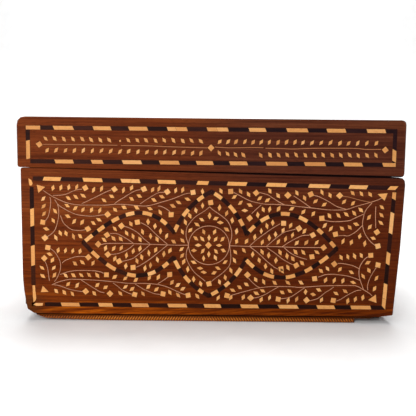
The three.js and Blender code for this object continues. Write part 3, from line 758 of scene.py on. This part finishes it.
def set_leaf(face, lean, place, pieces):
    set_piece(face, leaf(lean, place), pieces, turn=math.radians(lean))


def set_wire(face, points, pieces, width=WIRE_WIDTH, tone=None):
    line = smooth(points)
    pieces["wire"].strip(face, line, width, WIRE_PROUD, SET_DEPTH, tone)
    pieces["mastic"].strip(face, line, width + 2 * MASTIC_RIM, MASTIC_PROUD, SET_DEPTH + FILLER_BELOW)


def lay_front(pieces):
    """Everything that is let into the carcass's front inside its band."""
    for lean, count, first, last in LEAF_ROWS:
        for i in range(count):
            share = i / max(count - 1, 1)
            at = tuple(a + (b - a) * share for a, b in zip(first, last))
            set_leaf(on_front, lean + chance.uniform(-5, 5), at, pieces)
    for lean, place in SINGLE_LEAVES + LOBE_LEAVES + MIDDLE_LEAVES + ROSETTE:
        set_leaf(on_front, lean, place, pieces)
    for turn, place in SQUARES:
        set_piece(on_front, square(turn, place), pieces, turn=math.radians(turn))
    for corners in TRIANGLES:
        set_piece(on_front, list(corners), pieces)
    for points in WIRES:
        set_wire(on_front, points, pieces)
    set_wire(on_front, around(*WIRE_CIRCLE, np.linspace(0, 2 * math.pi, 49)), pieces)


# The lid's front: one wire from end to end with leaves on both sides
LID_ROWS = [
    (-50, 8, (-170.6, 190.5), (-105.5, 189.8)), (-50, 9, (-85.7, 190.0), (-11.0, 189.8)),
    (55, 11, (8.6, 189.4), (94.6, 189.1)), (55, 8, (103.9, 189.1), (170.1, 188.9)),
    (55, 18, (-169.4, 178.9), (-10.3, 177.4)), (-55, 4, (8.1, 177.4), (33.4, 176.0)),
    (-55, 14, (51.5, 176.0), (170.5, 176.8)),
]
LID_WIRES = [
    [(-173.5, 184.5), (-140, 184.6), (-97, 184.4)],
    [(-93.2, 184.2), (-68, 184.2), (-45.3, 183.5), (-4.4, 182.7)],
    [(3.8, 183.6), (18.4, 183), (39.3, 183.5), (53.8, 183.5)],
    [(56.1, 183), (73, 182.8), (85.4, 182.5), (105.4, 183.4), (146.3, 183.8), (159.9, 182.8), (175.4, 183)],
]
LID_SQUARES = [(35, (-177.5, 184.5)), (45, (-0.2, 182.9)), (40, (179.6, 182.4))]
LID_DOT = (-94.1, 188.9)
DOT_SIDE = 1.9
LID_LEAF = 0.97


def lay_lid_front(pieces):
    for lean, count, first, last in LID_ROWS:
        for i in range(count):
            share = i / (count - 1)
            at = tuple(a + (b - a) * share + chance.uniform(-0.4, 0.4) for a, b in zip(first, last))
            outline = leaf(lean + chance.uniform(-6, 6), (0, 0))
            outline = [(at[0] + u * LID_LEAF, at[1] + v * LID_LEAF) for u, v in outline]
            set_piece(on_front, outline, pieces, turn=math.radians(lean))
    for points in LID_WIRES:
        set_wire(on_front, points, pieces, LID_WIRE_WIDTH, tone=0.0)
    for turn, place in LID_SQUARES:
        set_piece(on_front, square(turn, place), pieces, turn=math.radians(turn))
    set_piece(on_front, square(20, LID_DOT, DOT_SIDE), pieces)


# The sides that the picture doesn't show carry the same work, plainer
PLAIN_RING = 17.0
PLAIN_PETALS = 9.5
PLAIN_STEM_GAP = 6.0
PLAIN_END_GAP = 4.5
PLAIN_LEAF_PITCH = 9.5
PLAIN_LEAF_LEAN = 52
PLAIN_LEAF_OFF = 6.2
CARCASS_SPRAY_HEIGHT = 80
LID_SPRAY_HEIGHT = 184


def around(middle, wide, high, angles):
    """Places on a circle or an ellipse."""
    return [(middle[0] + wide * math.cos(a), middle[1] + high * math.sin(a)) for a in angles]


def lay_plain_rosette(face, middle, pieces):
    set_wire(face, around(middle, PLAIN_RING, PLAIN_RING, np.linspace(0, 2 * math.pi, 41)), pieces)
    leans = [45 * k + 22.5 for k in range(8)]
    petals = around(middle, PLAIN_PETALS, PLAIN_PETALS, [math.radians(lean) for lean in leans])
    for lean, place in zip(leans, petals):
        set_leaf(face, lean, place, pieces)


def lay_plain_spray(face, middle, reach, pieces, rosette=True):
    """A rosette with a straight stem to each side, leaves along both stems and a diamond at each end."""
    u0, v0 = middle
    set_piece(face, square(45, middle), pieces)
    start = PLAIN_STEM_GAP
    if rosette:
        start = PLAIN_RING
        lay_plain_rosette(face, middle, pieces)
    leafy = reach - start - 2 * PLAIN_STEM_GAP
    count = int(leafy / PLAIN_LEAF_PITCH)
    for side in (-1, 1):
        set_wire(face, [(u0 + side * start, v0), (u0 + side * (reach - PLAIN_END_GAP), v0)], pieces)
        set_piece(face, square(45, (u0 + side * reach, v0)), pieces)
        for i in range(count + 1):
            u = u0 + side * (start + PLAIN_STEM_GAP + leafy * i / count)
            for up in (-1, 1):
                lean = side * up * PLAIN_LEAF_LEAN + chance.uniform(-6, 6)
                set_leaf(face, lean, (u, v0 + up * PLAIN_LEAF_OFF), pieces)


def lay_all(pieces):
    """The work on every face: a band round its edges, and inside it the front's sprays or a plain one."""
    half = LID_LENGTH / 2
    deep = BOX_DEPTH / 2
    left_top = cut_height(CARCASS_LEFT)
    right_top = cut_height(CARCASS_RIGHT)
    lid_foot = cut_height(-half) + LID_BAND_RISE - BAND_MARGINS[0]
    foot = right_end(CARCASS_BOTTOM)
    front = [(CARCASS_LEFT, CARCASS_BOTTOM), (foot, CARCASS_BOTTOM), (CARCASS_RIGHT, right_top),
             (CARCASS_LEFT, left_top)]
    back = [(-u, v) for u, v in (front[1], front[0], front[3], front[2])]
    lid = [(-half, lid_foot), (half, lid_foot), (half, LID_TOP), (-half, LID_TOP)]
    lid_end = [(-deep, lid_foot), (deep, lid_foot), (deep, LID_TOP), (-deep, LID_TOP)]
    board = [(-half, -deep), (half, -deep), (half, deep), (-half, deep)]
    mirrored = (CARCASS_MARGINS[0], CARCASS_MARGINS[3], CARCASS_MARGINS[2], CARCASS_MARGINS[1])
    lay_frame(on_front, front, pieces, CARCASS_MARGINS, CARCASS_BONES, CARCASS_JOINTS)
    for outline in CORNER_BONES:
        pieces["bone"].plate(on_front, outline, BAND_PROUD, BAND_DEPTH)
    for owner, (left, below), (right, above) in CORNER_PATCHES:
        outline = [(left, below), (right, below), (right, above), (left, above)]
        pieces[owner].plate(on_front, outline, PATCH_LEVEL, SET_DEPTH)
    lay_medallion(pieces)
    lay_front(pieces)
    lay_frame(on_front, lid, pieces, LID_MARGINS, LID_BONES, LID_JOINTS)
    lay_lid_front(pieces)
    lay_frame(on_back, back, pieces, mirrored)
    lay_plain_spray(on_back, (0, CARCASS_SPRAY_HEIGHT), 165, pieces)
    lay_frame(on_back, lid, pieces, LID_MARGINS)
    lay_plain_spray(on_back, (0, LID_SPRAY_HEIGHT), 178, pieces, rosette=False)
    for face, top in ((on_carcass_left, left_top), (on_carcass_right, right_top)):
        end = [(-deep, CARCASS_BOTTOM), (deep, CARCASS_BOTTOM), (deep, top), (-deep, top)]
        lay_frame(face, end, pieces, CARCASS_END_MARGINS)
        lay_plain_spray(face, (0, CARCASS_SPRAY_HEIGHT), 100, pieces)
    for face in (on_lid_left, on_lid_right):
        lay_frame(face, lid_end, pieces, LID_END_MARGINS)
        lay_plain_spray(face, (0, LID_SPRAY_HEIGHT), 112, pieces, rosette=False)
    lay_frame(on_lid_top, board, pieces, BAND_MARGINS)
    lay_plain_spray(on_lid_top, (0, 0), 165, pieces)


# The rope moulding: bars whose outer face is carved in leaning strands
ROPE_STRAND = 2.85
ROPE_RELIEF = 0.85
ROPE_ROUND = 0.9
ROPE_SLOPE = 0.62
ROPE_STEP = 0.36
ROPE_LEVELS = 13
ROPE_TORN = 1.3
ROPE_LEAST = 0.02
ROPE_WEAVE = (-40.0, 20.0)
ROPE_LEFT_WEAR = 9.0
ROPE_WORN_FOOT = 2.0
ROPE_WORN_RUN = 70.0


def rope_weight(x):
    """0 where the strands' feet stand right of their heads, and 1 where they stand left."""
    share = min(max((x - ROPE_WEAVE[0]) / (ROPE_WEAVE[1] - ROPE_WEAVE[0]), 0.0), 1.0)
    return share * share * (3 - 2 * share)


def strand(x, z, lean):
    """How far the surface stands out of the groove between two strands, from 0 to 1."""
    phase = (x + lean * ROPE_SLOPE * (z - ROPE_HEIGHT / 2)) / ROPE_STRAND
    return abs(math.sin(math.pi * phase)) ** 0.6


def worn_under(run):
    """Height of the front rope's underside at a distance from its left end."""
    if run < ROPE_LEFT_WEAR:
        return ROPE_HEIGHT - (ROPE_HEIGHT - ROPE_WORN_FOOT) * run / ROPE_LEFT_WEAR
    return max(0.0, ROPE_WORN_FOOT * (ROPE_WORN_RUN - run) / (ROPE_WORN_RUN - ROPE_LEFT_WEAR))


def build_rope(node, material, along_x, outward, worn=False, weave=False):
    """One bar in the place of its CAD node. outward is the side that its carved face looks to."""
    low, high = [np.array(corner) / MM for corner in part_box(node)]
    axis, depth_axis = (0, 1) if along_x else (1, 0)
    start, stop = low[axis], high[axis]
    face = high[depth_axis] if outward > 0 else low[depth_axis]
    inner = low[depth_axis] if outward > 0 else high[depth_axis]
    rises = [0.5 + 0.5 * math.cos(math.pi * k / ROPE_LEVELS) for k in range(ROPE_LEVELS + 1)]
    heights = [ROPE_HEIGHT * rise for rise in rises]
    ragged = [chance.uniform(0, ROPE_TORN) for _ in heights]
    count = int((stop - start) / ROPE_STEP)
    section = len(heights) + 2
    places, relief_and_painted_shade = [], []
    for i in range(count + 1):
        for z, torn in zip(heights, ragged):
            s = start + (stop - torn - start) * i / count
            under = worn_under(s - start) + ROPE_LEAST if worn else 0.0
            z = min(under + z * (1 - under / ROPE_HEIGHT), ROPE_HEIGHT)
            x = s - LID_MIDDLE if along_x else s
            weight = rope_weight(x) if weave else 0.0
            relief = (1 - weight) * strand(x, z, -1) + weight * strand(x, z, 1)
            rounding = (abs(2 * z / ROPE_HEIGHT - 1)) ** 2.4
            out = face - outward * (ROPE_RELIEF * (1 - relief) + ROPE_ROUND * rounding)
            place = [0.0, 0.0, z * MM]
            place[axis], place[depth_axis] = s * MM, out * MM
            places.append(tuple(place))
            # The colour's relief is also painted darker on the bar's rounded top and bottom, as shade.
            relief_and_painted_shade.append(relief * (1 - 0.3 * rounding))
        for z, torn in ((0.0, ragged[-1]), (ROPE_HEIGHT, ragged[0])):
            s = start + (stop - torn - start) * i / count
            if worn and z == 0.0:
                z = min(worn_under(s - start) + ROPE_LEAST, ROPE_HEIGHT)
            place = [0.0, 0.0, z * MM]
            place[axis], place[depth_axis] = s * MM, inner * MM
            places.append(tuple(place))
            relief_and_painted_shade.append(0.5)
    faces = [list(range(section)), list(range(section * count, section * (count + 1)))[::-1]]
    for i in range(count):
        faces += tube_faces(section * i, section)
    mirrored = (outward > 0) == along_x
    if not mirrored:
        faces = [corners[::-1] for corners in faces]
    mesh = bpy.data.meshes.new(node + "_carved")
    mesh.from_pydata(places, [], faces)
    mesh.attributes.new("relief", "FLOAT", "POINT").data.foreach_set("value", relief_and_painted_shade)
    mesh.materials.append(material)
    mesh.update()
    piece = bpy.data.objects.new(node + "_carved", mesh)
    bpy.context.scene.collection.objects.link(piece)
    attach(piece, "root")
    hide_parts(node)
    return piece


# Materials
class Look:
    """A material and short calls for the nodes that the looks here use."""

    def __init__(self, name):
        self.material = bpy.data.materials.new(name)
        self.material.use_nodes = True
        self.tree = self.material.node_tree
        self.shader = self.tree.nodes["Principled BSDF"]
        scaled = self.node("ShaderNodeVectorMath", operation="SCALE")
        self.join(self.node("ShaderNodeTexCoord").outputs["Object"], scaled.inputs[0])
        scaled.inputs["Scale"].default_value = 1 / MM
        self.place = scaled.outputs[0]

    def node(self, kind, **settings):
        made = self.tree.nodes.new(kind)
        for key, value in settings.items():
            setattr(made, key, value)
        return made

    def join(self, value, socket):
        if isinstance(value, bpy.types.NodeSocket):
            self.tree.links.new(value, socket)
        else:
            socket.default_value = value

    def math(self, operation, a, b=0.0, c=0.0):
        made = self.node("ShaderNodeMath", operation=operation)
        for value, socket in zip((a, b, c), made.inputs):
            self.join(value, socket)
        return made.outputs[0]

    def axis(self, name):
        made = self.node("ShaderNodeSeparateXYZ")
        self.join(self.place, made.inputs[0])
        return made.outputs[name]

    def ramp(self, value, low, high):
        """0 below one value, 1 above another, smooth between."""
        made = self.node("ShaderNodeMapRange", interpolation_type="SMOOTHSTEP")
        for item, socket in zip((value, low, high), made.inputs):
            self.join(item, socket)
        return made.outputs[0]

    def noise(self, per_mm, detail=3.0, rough=0.55, shift=(0, 0, 0), bend=0.0, where=None):
        """Noise with its own size along each axis, as repeats for each millimetre."""
        moved = self.node("ShaderNodeMapping")
        self.join(where or self.place, moved.inputs["Vector"])
        moved.inputs["Scale"].default_value = per_mm
        moved.inputs["Location"].default_value = shift
        made = self.node("ShaderNodeTexNoise")
        self.join(moved.outputs[0], made.inputs["Vector"])
        made.inputs["Scale"].default_value = 1.0
        made.inputs["Detail"].default_value = detail
        made.inputs["Roughness"].default_value = rough
        made.inputs["Distortion"].default_value = bend
        return made.outputs["Fac"]

    def colours(self, value, stops):
        """A colour for each value: stops are (value, colour)."""
        made = self.node("ShaderNodeValToRGB")
        self.join(value, made.inputs[0])
        elements = made.color_ramp.elements
        while len(elements) < len(stops):
            elements.new(0.5)
        for element, (at, colour) in zip(elements, stops):
            element.position = at
            element.color = (*colour, 1.0)
        return made.outputs[0]

    def blend(self, share, a, b, kind="MIX"):
        made = self.node("ShaderNodeMix", data_type="RGBA", blend_type=kind)
        colour_sockets = [s for s in made.inputs if s.type == "RGBA"]
        self.join(share, made.inputs[0])
        self.join(a if isinstance(a, bpy.types.NodeSocket) else (*a, 1.0), colour_sockets[0])
        self.join(b if isinstance(b, bpy.types.NodeSocket) else (*b, 1.0), colour_sockets[1])
        return [s for s in made.outputs if s.type == "RGBA"][0]

    def toward(self, colour, mask, share, other):
        """A colour drawn a share of the way to another, where a mask is 1."""
        return self.blend(self.math("MULTIPLY", mask, share), colour, other)

    def times(self, colour, mask, factors):
        """A colour whose channels are multiplied, where a mask is 1."""
        return self.blend(mask, colour, factors, "MULTIPLY")

    def attribute(self, name):
        return self.node("ShaderNodeAttribute", attribute_name=name).outputs["Fac"]

    def finish(self, colour, roughness, height, strength, depth):
        """Colour, roughness, and a bump of a real depth in millimetres."""
        self.join(colour, self.shader.inputs["Base Color"])
        self.join(roughness, self.shader.inputs["Roughness"])
        bump = self.node("ShaderNodeBump")
        bump.inputs["Strength"].default_value = strength
        bump.inputs["Distance"].default_value = depth * MM
        self.join(height, bump.inputs["Height"])
        self.join(bump.outputs[0], self.shader.inputs["Normal"])
        return self.material


def aged_tone_and_painted_shade(look, colour, shift):
    """The box is darker towards its right, partly the wood's own tone and partly painted shade where the
    light falls off; greyer at the top right and redder towards its foot.
    """
    x, z = look.axis("X"), look.axis("Z")
    cloud = look.noise((0.01, 0.03, 0.03), 3, 0.6, shift)
    # Painted shade: darker towards the right as the light falls off, mixed with the wood's own tone.
    right = look.ramp(look.math("MULTIPLY_ADD", cloud, 90.0, x), -150.0, 125.0)
    low = look.ramp(z, 165.0, 20.0)
    colour = look.times(colour, right, (0.6, 0.55, 0.65))
    colour = look.times(colour, low, (0.97, 0.8, 0.3))
    top_right = look.math("MULTIPLY", look.ramp(x, -60.0, 60.0), look.ramp(z, 115.0, 175.0))
    colour = look.times(colour, top_right, (0.83, 1.08, 2.0))
    rim = look.math("MULTIPLY", look.ramp(z, 203.0, 207.0), look.ramp(x, -110.0, -20.0))
    return look.times(colour, rim, (1.35, 1.45, 1.25))


def grain_place(look):
    """Places whose first axis runs with the grain: along the box, and across it on its ends."""
    facing = look.node("ShaderNodeSeparateXYZ")
    look.join(look.node("ShaderNodeNewGeometry").outputs["True Normal"], facing.inputs[0])
    on_end = look.math("GREATER_THAN", look.math("ABSOLUTE", facing.outputs["X"]), 0.7)
    swapped = look.node("ShaderNodeCombineXYZ")
    for name, socket in zip("YXZ", swapped.inputs):
        look.join(look.axis(name), socket)
    chosen = look.node("ShaderNodeMix", data_type="VECTOR")
    look.join(on_end, chosen.inputs[0])
    along, across = [socket for socket in chosen.inputs if socket.type == "VECTOR"][-2:]
    look.join(look.place, along)
    look.join(swapped.outputs[0], across)
    return [socket for socket in chosen.outputs if socket.type == "VECTOR"][0]


def wood_look(name, shift):
    """Old reddish wood: its grain runs along the box, and round the ends, with orange wear at the foot."""
    look = Look(name)
    x, z = look.axis("X"), look.axis("Z")
    where = grain_place(look)
    figure = look.noise((0.005, 0.05, 0.06), 3, 0.5, shift, 0.4, where)
    streak = look.noise((0.009, 0.5, 0.62), 4, 0.65, shift, 0.25, where)
    fibre = look.noise((0.045, 2.2, 2.6), 3, 0.6, shift, 0.0, where)
    pore = look.ramp(look.noise((0.14, 3.0, 3.6), 2, 0.5, shift, 0.0, where), 0.57, 0.68)
    tone = look.math("MULTIPLY_ADD", figure, 0.3, look.math("MULTIPLY", streak, 0.55))
    tone = look.math("MULTIPLY_ADD", fibre, 0.2, tone)
    colour = look.colours(tone, [
        (0.38, (0.075, 0.0135, 0.0025)), (0.46, (0.115, 0.0215, 0.0045)), (0.525, (0.148, 0.029, 0.006)),
        (0.59, (0.18, 0.0385, 0.008)), (0.68, (0.245, 0.06, 0.013)),
    ])
    low = look.math("ADD", z, look.math("MULTIPLY_ADD", figure, 10.0, -5.0))
    foot = look.ramp(low, 25.0, 15.0)
    slanted = look.node("ShaderNodeVectorRotate", rotation_type="Y_AXIS")
    look.join(look.place, slanted.inputs["Vector"])
    slanted.inputs["Angle"].default_value = math.radians(7)
    flame = look.noise((0.02, 0.2, 0.34), 4, 0.6, shift, 0.5, slanted.outputs[0])
    flame = look.math("MULTIPLY_ADD", streak, 0.3, look.math("MULTIPLY", flame, 0.7))
    orange = look.colours(flame, [(0.38, (0.1, 0.017, 0.0015)), (0.46, (0.19, 0.039, 0.0025)),
                                  (0.53, (0.29, 0.066, 0.004)), (0.62, (0.44, 0.115, 0.008))])
    bright = look.math("MULTIPLY", look.ramp(x, -165.0, -135.0), look.ramp(x, 5.0, -55.0))
    orange = look.times(orange, bright, (1.5, 1.6, 1.3))
    colour = look.toward(colour, foot, 0.92, orange)
    worn = look.math("MULTIPLY", look.ramp(x, -166.0, -192.0), look.ramp(low, 40.0, 18.0))
    colour = look.toward(colour, worn, 0.75, (0.085, 0.031, 0.017))
    colour = look.toward(colour, pore, 0.5, (0.018, 0.005, 0.002))
    dark_streak = look.ramp(look.noise((0.006, 0.34, 0.4), 3, 0.65, shift, 0.2, where), 0.53, 0.66)
    colour = look.toward(colour, dark_streak, 0.42, (0.06, 0.0115, 0.003))
    stripe = look.math("ABSOLUTE", look.math("ADD", look.math("MULTIPLY_ADD", streak, 3.0, -1.5),
                                             look.math("SUBTRACT", z, PALE_STREAK_HEIGHT)))
    pale = look.math("MULTIPLY", look.ramp(stripe, 2.0, 0.9), look.ramp(x, -138.0, -165.0))
    colour = look.toward(colour, pale, 0.6, (0.27, 0.066, 0.011))
    # Painted shade: the recessed base board below the carcass's foot is given a plain brown, and above the
    # rope's top it is painted near black as shadow.
    recess = look.ramp(z, CARCASS_FOOT + 0.3, CARCASS_FOOT - 0.3)
    colour = look.blend(recess, colour, (0.2, 0.05, 0.005))
    shade = look.math("MULTIPLY", recess, look.ramp(z, ROPE_HEIGHT + 0.5, ROPE_HEIGHT + 1.0))
    colour = look.toward(colour, shade, 0.95, (0.008, 0.003, 0.0015))
    # Painted shadow: the wood along the saw cut between lid and carcass is darkened in a band that widens
    # towards the right, as the gap's shadow.
    cut = look.math("MULTIPLY_ADD", x, CUT_DROP / LID_LENGTH, look.math("SUBTRACT", z, CUT_HEIGHT_MIDDLE))
    painted_gap_shadow_width = look.math("MULTIPLY_ADD", look.ramp(x, -190.0, 190.0), 0.75, 0.25)
    painted_gap_shadow = look.ramp(look.math("SUBTRACT", look.math("ABSOLUTE", cut), painted_gap_shadow_width), 0.55, 0.05)
    painted_gap_shadow = look.math("MULTIPLY", painted_gap_shadow, look.ramp(x, -185.0, -60.0))
    colour = look.toward(colour, painted_gap_shadow, 0.93, (0.006, 0.002, 0.0015))
    rough = look.math("MULTIPLY_ADD", streak, 0.3, 0.36)
    height = look.math("MULTIPLY_ADD", pore, -0.8, look.math("MULTIPLY_ADD", fibre, 0.5, streak))
    look.shader.inputs["Specular IOR Level"].default_value = 0.035
    return look.finish(aged_tone_and_painted_shade(look, colour, shift), rough, height, 0.6, 0.16)


def bone_look():
    """Old bone: each piece has its own tone, with fine lines along it and brown stains."""
    look = Look("bone")
    turned = look.node("ShaderNodeVectorRotate", rotation_type="Y_AXIS")
    look.join(look.place, turned.inputs["Vector"])
    look.join(look.attribute("turn"), turned.inputs["Angle"])
    lines = look.noise((0.12, 1.2, 2.6), 3, 0.6, where=turned.outputs[0])
    cloud = look.noise((0.35, 0.35, 0.35), 4, 0.6)
    pits = look.ramp(look.noise((1.6, 1.6, 1.6), 2, 0.5), 0.63, 0.74)
    colour = look.colours(look.attribute("tone"), [
        (0.0, (0.6, 0.25, 0.07)), (0.08, (0.7, 0.305, 0.09)), (0.3, (0.75, 0.34, 0.1)),
        (0.75, (0.79, 0.375, 0.115)), (1.0, (0.82, 0.42, 0.155)),
    ])
    stain = look.math("MULTIPLY", look.ramp(cloud, 0.5, 0.72), 0.42)
    colour = look.blend(stain, colour, (0.5, 0.19, 0.045))
    colour = look.toward(colour, look.ramp(lines, 0.5, 0.7), 0.36, (0.45, 0.18, 0.055))
    colour = look.toward(colour, pits, 0.5, (0.2, 0.08, 0.03))
    colour = look.times(colour, look.ramp(look.axis("Z"), 158.0, 168.0), (0.85, 0.82, 0.82))
    # Painted shade: the bone is darker towards the right as the light falls off.
    colour = look.times(colour, look.ramp(look.axis("X"), -180.0, 170.0), (0.91, 0.9, 0.88))
    height = look.math("MULTIPLY_ADD", pits, -1.0, lines)
    rough = look.math("MULTIPLY_ADD", cloud, 0.3, 0.3)
    look.shader.inputs["Specular IOR Level"].default_value = 0.12
    return look.finish(colour, rough, height, 0.4, 0.08)


def dark_wood_look():
    look = Look("dark wood")
    streak = look.noise((0.06, 0.6, 0.6), 4, 0.6)
    fibre = look.noise((0.4, 2.4, 2.4), 3, 0.6)
    tone = look.math("MULTIPLY_ADD", look.attribute("tone"), 0.35, look.math("MULTIPLY", streak, 0.65))
    colour = look.colours(tone, [(0.25, (0.012, 0.003, 0.002)), (0.5, (0.028, 0.0065, 0.0035)),
                                 (0.75, (0.055, 0.013, 0.006))])
    colour = look.toward(colour, fibre, 0.3, (0.012, 0.004, 0.003))
    height = look.math("MULTIPLY_ADD", fibre, 0.5, streak)
    look.shader.inputs["Specular IOR Level"].default_value = 0.06
    rough = look.math("MULTIPLY_ADD", streak, 0.25, 0.36)
    return look.finish(aged_tone_and_painted_shade(look, colour, (5.0, 1.0, 2.0)), rough, height, 0.4, 0.08)


def wire_look():
    look = Look("wire")
    long = look.noise((0.06, 0.06, 0.06), 3, 0.6)
    fine = look.noise((0.9, 0.9, 0.9), 3, 0.6)
    colour = look.colours(look.math("MULTIPLY_ADD", fine, 0.5, look.math("MULTIPLY", long, 0.5)), [
        (0.3, (0.3, 0.11, 0.05)), (0.5, (0.52, 0.225, 0.115)), (0.7, (0.64, 0.32, 0.185))])
    dull = look.ramp(look.attribute("tone"), 0.02, 0.01)
    colour = look.toward(colour, dull, 0.85, (0.3, 0.1, 0.03))
    look.shader.inputs["Specular IOR Level"].default_value = 0.12
    return look.finish(colour, look.math("MULTIPLY_ADD", fine, 0.3, 0.35), fine, 0.4, 0.06)


def mastic_look():
    look = Look("mastic")
    fine = look.noise((1.4, 1.4, 1.4), 4, 0.65)
    colour = look.colours(fine, [(0.35, (0.016, 0.005, 0.003)), (0.65, (0.05, 0.014, 0.006))])
    look.shader.inputs["Specular IOR Level"].default_value = 0.06
    return look.finish(colour, look.math("MULTIPLY_ADD", fine, 0.3, 0.45), fine, 0.6, 0.08)


def rope_look():
    """Carved wood, lighter on the strands and near black between them; the rounded top and bottom of the bar
    are painted darker as shade.
    """
    look = Look("rope wood")
    relief = look.attribute("relief")
    fine = look.noise((0.5, 0.9, 0.9), 4, 0.6)
    tone = look.math("MULTIPLY_ADD", fine, 0.3, look.math("MULTIPLY", relief, 0.7))
    colour = look.colours(tone, [
        (0.3, (0.02, 0.005, 0.001)), (0.52, (0.12, 0.026, 0.0025)), (0.7, (0.36, 0.09, 0.007)),
        (0.9, (0.8, 0.27, 0.035))])
    # Painted shade: the rope is darker towards its right as the light falls off.
    right = look.ramp(look.axis("X"), -20.0, 150.0)
    colour = look.times(colour, right, (0.66, 0.58, 0.5))
    left = look.ramp(look.axis("X"), -105.0, -160.0)
    colour = look.times(colour, left, (0.66, 0.56, 0.8))
    look.shader.inputs["Specular IOR Level"].default_value = 0.12
    return look.finish(colour, look.math("MULTIPLY_ADD", fine, 0.3, 0.3), fine, 0.4, 0.12)


def floor_look():
    look = Look("pale floor")
    grain = look.noise((0.02, 0.02, 0.02), 3, 0.5)
    colour = look.colours(grain, [(0.3, (0.84, 0.84, 0.84)), (0.7, (0.88, 0.88, 0.88))])
    return look.finish(colour, look.math("MULTIPLY_ADD", grain, 0.1, 0.6), grain, 0.05, 0.2)


# The object
bone = bone_look()
dark = dark_wood_look()
carcass_wood = wood_look("carcass wood", (3.1, 7.7, 1.3))
lid_wood = wood_look("lid wood", (14.2, 2.9, 8.6))
pieces = {
    "bone": Inlay("bone_inlay", bone, "bone"),
    "dark": Inlay("dark_inlay", dark, "dark_wood"),
    "mastic": Inlay("inlay_filler", mastic_look(), "dark_wood"),
    "wire": Inlay("inlay_wire", wire_look(), "wire"),
    "carcass": Inlay("carcass_patches", carcass_wood, "wood"),
    "lid": Inlay("lid_patches", lid_wood, "wood"),
}
lay_all(pieces)
built = {name: inlay.build() for name, inlay in pieces.items()}
BAND_NODES = [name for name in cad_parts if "_inlay_" in name]
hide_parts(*BAND_NODES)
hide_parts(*BAND_NODES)

ropes = rope_look()
build_rope("rope_moulding_front", ropes, True, -1, worn=True, weave=True)
build_rope("rope_moulding_back", ropes, True, 1)
build_rope("rope_moulding_left", ropes, False, -1)
build_rope("rope_moulding_right", ropes, False, 1)

for name, wood in (("carcass", carcass_wood), ("lid", lid_wood)):
    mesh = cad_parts[name].data
    mesh.materials.clear()
    mesh.materials.append(wood)


# The floor, the light and the camera
def make_floor():
    """A pale floor that curves up behind the object."""
    half_width, front_edge, wall, bend, height = 4.0, -4.0, 2.2, 1.0, 3.0
    profile = [(front_edge, 0.0), (wall - bend, 0.0)]
    profile += [(wall - bend + bend * math.sin(a), bend - bend * math.cos(a))
                for a in np.linspace(0, math.pi / 2, 16)[1:]]
    profile.append((wall, height))
    places = [(x, y, z) for x in (-half_width, half_width) for y, z in profile]
    n = len(profile)
    mesh = bpy.data.meshes.new("floor")
    mesh.from_pydata(places, [], [[i, i + n, i + n + 1, i + 1] for i in range(n - 1)])
    mesh.materials.append(floor_look())
    for face in mesh.polygons:
        face.use_smooth = True
    floor = bpy.data.objects.new("floor", mesh)
    bpy.context.scene.collection.objects.link(floor)


def make_light(name, place, aim, size, power):
    data = bpy.data.lights.new(name, "AREA")
    data.size = size
    data.energy = power
    light = bpy.data.objects.new(name, data)
    light.location = place
    light.rotation_euler = (Vector(aim) - Vector(place)).to_track_quat("-Z", "Y").to_euler()
    bpy.context.scene.collection.objects.link(light)


make_floor()
make_light("key", (-0.6, -1.5, 0.85), (0.0, -0.135, 0.1), 1.0, 19)
make_light("fill", (1.0, -1.7, 0.7), (0.1, -0.135, 0.1), 1.6, 3)
make_light("top", (0.0, 0.2, 2.2), (0.0, 0.0, 0.1), 1.6, 34)
make_light("backdrop", (0.0, 1.0, 2.4), (0.0, 2.2, 0.5), 2.0, 50)

world = bpy.data.worlds.new("studio")
world.use_nodes = True
world.node_tree.nodes["Background"].inputs["Color"].default_value = (1, 1, 1, 1)
world.node_tree.nodes["Background"].inputs["Strength"].default_value = 0.15
bpy.context.scene.world = world
bpy.context.scene.view_settings.view_transform = "Standard"

# The camera stands where the photograph was taken from
CAMERA_PLACE = (-0.0034, -0.654626, 0.166359)
CAMERA_DOWN = 4.9
CAMERA_ROLL = 0.6
PICTURE_SIDE = 416
FOCAL_PIXELS = 500
SENSOR = 36.0

camera = bpy.data.objects.new("camera", bpy.data.cameras.new("camera"))
camera.data.sensor_width = SENSOR
camera.data.lens = SENSOR * FOCAL_PIXELS / PICTURE_SIDE
camera.data.clip_start = 0.01
tilt = Matrix.Rotation(math.radians(90 - CAMERA_DOWN), 4, "X")
roll = Matrix.Rotation(math.radians(CAMERA_ROLL), 4, "Z")
camera.matrix_world = Matrix.Translation(CAMERA_PLACE) @ tilt @ roll
bpy.context.scene.collection.objects.link(camera)
bpy.context.scene.camera = camera
